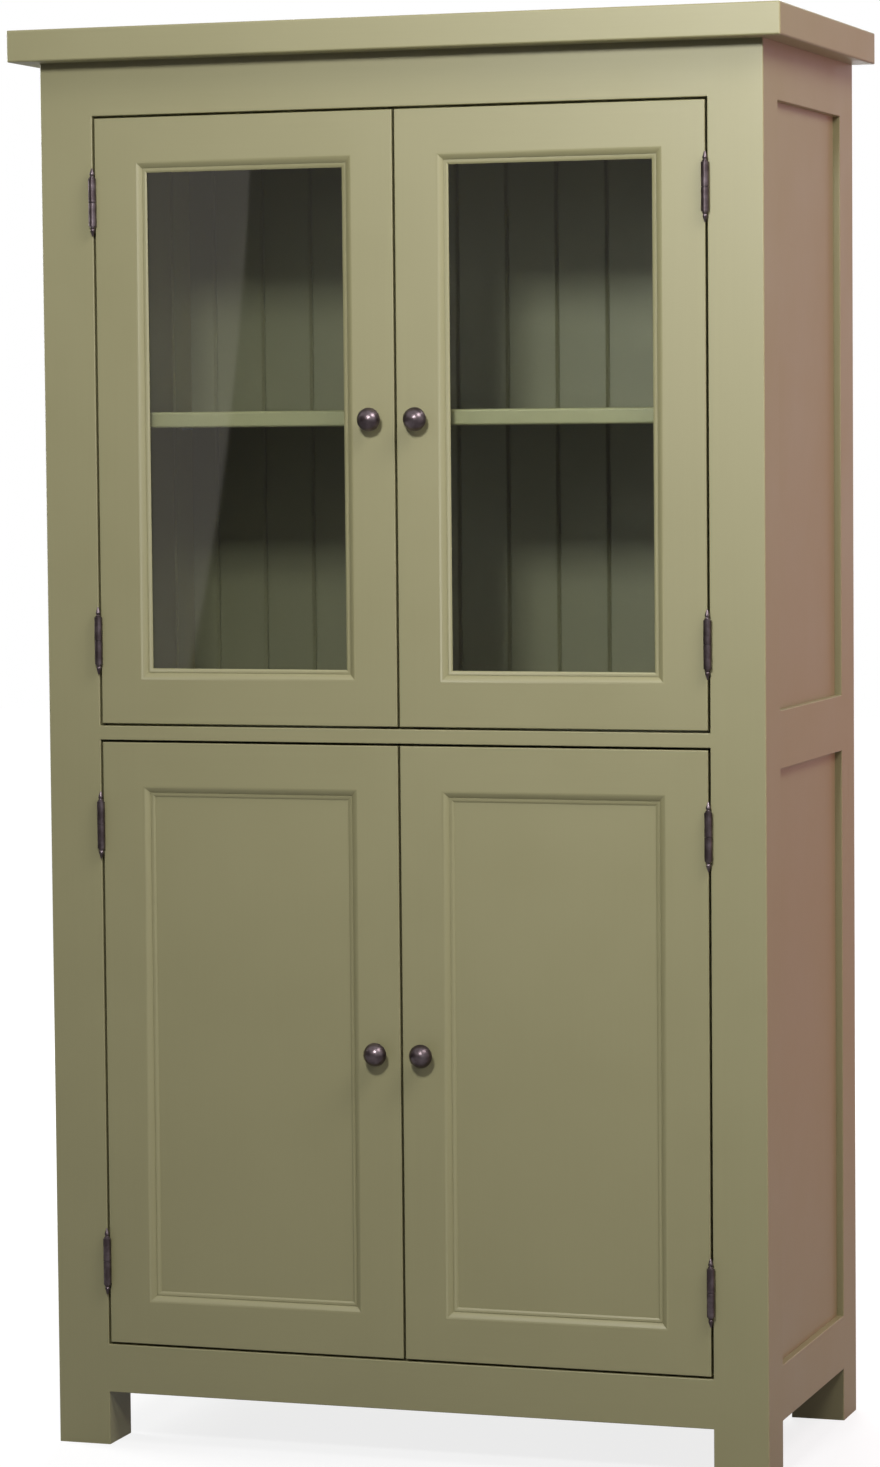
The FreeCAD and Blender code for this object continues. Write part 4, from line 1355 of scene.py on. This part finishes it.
@dataclass(frozen=True)
class DimScreen:
    """A dim screen behind the camera that the panes mirror.

    A wing on its left runs on past the cupboard. One patch is paler, to the
    left of an edge that curves away as it falls: x = edge_x - lean d -
    curve d^2, where d is the drop below edge_z. The glow crosses the edge by a
    smooth step, fades out at patch_left, and is joined by a faint one above.
    """

    y: float = -8.0
    left: float = -5.0
    right: float = 2.4
    low: float = -0.5
    top: float = 3.9
    rows: int = 66
    wing_x: float = -5.2
    wing_y: float = 3.0
    edge_x: float = -3.14
    edge_z: float = 2.07
    lean: float = 0.05
    curve: float = 0.06
    blur: float = 0.012
    edge_span: tuple[float, float] = (-3.5, -2.9)
    edge_columns: int = 121
    patch_left: float = -4.4
    patch_fade: float = 0.5
    upper_low: float = 1.3
    upper_fade: float = 0.7
    upper_share: float = 0.22
    dim_level: float = 0.1
    patch_level: float = 0.62
    tint: str = "#FFF6EC"

    def glow_at(self, x: np.ndarray, z: np.ndarray) -> np.ndarray:
        """The glow's share at points of the screen; a smooth step is s^2 (3 - 2 s).

        Args:
            x: The points' X.
            z: The points' Z.

        Returns:
            The share at each point, 0 where the screen is dim.
        """
        drop = self.edge_z - z
        edge = self.edge_x - self.lean * drop - self.curve * drop ** 2
        share = np.clip((edge + self.blur - x) / (2 * self.blur), 0, 1)
        patch = share * share * (3 - 2 * share) * np.clip((x - self.patch_left) / self.patch_fade, 0, 1)
        rise = np.clip((z - self.upper_low) / self.upper_fade, 0, 1)
        return patch + self.upper_share * rise * rise * (3 - 2 * rise)

    def build(self) -> bpy.types.Object:
        """Hang the screen, with its glow stored on its points.

        Returns:
            The screen.
        """
        material, tree = new_tree("dim_room")
        stored = add_node(tree, "ShaderNodeAttribute", attribute_name="glow")
        level = add_node(tree, "ShaderNodeMapRange", {"Value": stored.outputs["Fac"]},
                         {"To Min": self.dim_level, "To Max": self.patch_level})
        glow = add_node(tree, "ShaderNodeEmission", {"Strength": level.outputs[0]},
                        {"Color": linear(self.tint)})
        add_node(tree, "ShaderNodeOutputMaterial", {"Surface": glow.outputs[0]})
        across = np.concatenate([[self.wing_x, self.left], np.linspace(*self.edge_span, self.edge_columns),
                                 [self.right]])
        x, z = np.meshgrid(across, np.linspace(self.low, self.top, self.rows))
        y = np.where(x < self.left, self.wing_y, self.y)
        points = np.stack([x, y, z], -1).reshape(-1, 3)
        rows, columns = x.shape
        row, column = np.meshgrid(np.arange(rows - 1), np.arange(columns - 1), indexing="ij")
        first = (row * columns + column).reshape(-1)
        faces = np.stack([first, first + columns, first + columns + 1, first + 1], -1)
        screen = skin("dim_room", points, faces, material)
        values = screen.data.attributes.new("glow", "FLOAT", "POINT")
        values.data.foreach_set("value", self.glow_at(x, z).reshape(-1).astype(np.float32))
        hide_from(screen, "camera", "shadow", "diffuse")
        return screen


@dataclass(frozen=True)
class WarmWall:
    """A warm sheet of light on the right that tints the side of the cupboard.

    Its light is in faint level bands. It turns from one colour to another as
    it rises, and is brightest at its near edge.
    """

    x: float = 1.6
    near_y: float = -0.2
    far_y: float = 3.2
    top: float = 2.6
    waves_per_metre: tuple[float, float, float] = (0.3, 0.3, 7.0)
    strength: float = 1.4
    band_swing: float = 0.4
    low_colour: str = "#BF8486"
    high_colour: str = "#AE7886"
    colour_z: tuple[float, float] = (0.3, 2.2)
    fade_y: tuple[float, float] = (-0.2, 1.0)
    fade_levels: tuple[float, float] = (1.9, 0.9)

    def build(self) -> bpy.types.Object:
        """Stand the wall up.

        Returns:
            The wall.
        """
        material, tree = new_tree("warm_boards")
        place = add_node(tree, "ShaderNodeTexCoord").outputs["Object"]
        squeezed = add_node(tree, "ShaderNodeMapping", {"Vector": place}, {"Scale": self.waves_per_metre})
        bands = add_node(tree, "ShaderNodeTexNoise", {"Vector": squeezed.outputs[0]},
                         {"Scale": 1.0, "Detail": 2.0})
        level = add_node(tree, "ShaderNodeMapRange", {"Value": bands.outputs[0]},
                         {**NOISE_SPAN, "To Min": self.strength * (1 - self.band_swing),
                          "To Max": self.strength * (1 + self.band_swing)})
        split = add_node(tree, "ShaderNodeSeparateXYZ", {"Vector": place})
        rise = add_node(tree, "ShaderNodeMapRange", {"Value": split.outputs["Z"]},
                        dict(zip(("From Min", "From Max"), self.colour_z)))
        near = add_node(tree, "ShaderNodeMapRange", {"Value": split.outputs["Y"]},
                        dict(zip(("From Min", "From Max", "To Min", "To Max"),
                                 self.fade_y + self.fade_levels)))
        strength = add_node(tree, "ShaderNodeMath", {0: level.outputs[0], 1: near.outputs[0]},
                            operation="MULTIPLY")
        colour = add_node(tree, "ShaderNodeMix", {0: rise.outputs[0]},
                          {COLOUR_A: linear(self.low_colour), COLOUR_B: linear(self.high_colour)},
                          data_type="RGBA")
        glow = add_node(tree, "ShaderNodeEmission",
                        {"Color": colour.outputs[COLOUR_OUT], "Strength": strength.outputs[0]})
        add_node(tree, "ShaderNodeOutputMaterial", {"Surface": glow.outputs[0]})
        points = np.array([[self.x, self.near_y, 0.0], [self.x, self.far_y, 0.0],
                           [self.x, self.far_y, self.top], [self.x, self.near_y, self.top]])
        wall = skin("warm_wall", points, [[0, 3, 2, 1]], material)
        hide_from(wall, "camera", "shadow", "transmission")
        return wall


@dataclass(frozen=True)
class Studio:
    """The backdrop, the screens and the lamps."""

    fill_level: float = 0.09
    mirrored: float = 1.0
    lamps: tuple[Softbox, ...] = (
        Softbox("key_softbox", place=(0.42, -3.0, 2.55), aim=(0.9, -0.2, 1.6), size=0.42, power=41.0,
                spread_deg=132.0),
        Softbox("window_softbox", place=(1.95, -1.3, 3.2), aim=(0.0, -0.1, 0.9), size=1.1, power=41.5,
                tint="#FFFAFC"),
        Softbox("back_softbox", place=(-0.9, 4.0, 2.2), aim=(-0.3, 0.25, 0.9), size=1.6, power=150.0),
        Softbox("left_softbox", place=(-3.6, 0.6, 1.9), aim=(-0.45, 0.05, 0.9), size=1.4, power=105.0))

    def world(self) -> None:
        """White to the camera, to mirrors and through glass, and a low fill to all else."""
        world = bpy.data.worlds.new("pale_studio")
        bpy.context.scene.world = world
        world.use_nodes = True
        tree = world.node_tree
        tree.nodes.clear()
        white, fill = (add_node(tree, "ShaderNodeBackground", inputs={"Color": WHITE, "Strength": strength})
                       for strength in (1.0, self.fill_level))
        mixed = add_node(tree, "ShaderNodeMixShader",
                         {0: shown_share(tree, self.mirrored), 1: fill.outputs[0], 2: white.outputs[0]})
        add_node(tree, "ShaderNodeOutputWorld", {"Surface": mixed.outputs[0]})

    def build(self) -> None:
        """Set up the whole studio."""
        self.world()
        for sheet in (PaleFloor(), DimScreen(), WarmWall()):
            sheet.build()
        for lamp in self.lamps:
            lamp.hang()


def main() -> None:
    """Build the looks in order: finishes, woodwork, doors, fixings, studio."""
    logging.basicConfig(level=logging.INFO, format="%(name)s: %(message)s")
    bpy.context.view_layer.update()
    palette = Palette().mix()
    LOG.info("dressed %d CAD nodes", Woodwork().dress(palette))
    doors = [Door(level, side, **sizes) for side in Side for level, sizes in DOOR_LEVELS.items()]
    pieces = []
    for door in doors:
        pieces.append(DoorMoulding(door).build(palette.paint[Grain.UPRIGHT]))
        for fitting in (DoorKnob(door), HingePair(door), DoorCatch(door)):
            pieces += fitting.build(palette)
    pieces += [fixings.build(palette) for fixings in (HingePins(doors), BackNails(), CleatScrews())]
    for piece in pieces:
        LOG.info("%s: %d points", piece.name, len(piece.data.vertices))
    Studio().build()
    PhotoCamera().build()
    bpy.context.scene.view_settings.view_transform = "Standard"


if __name__ == "__main__":
    main()
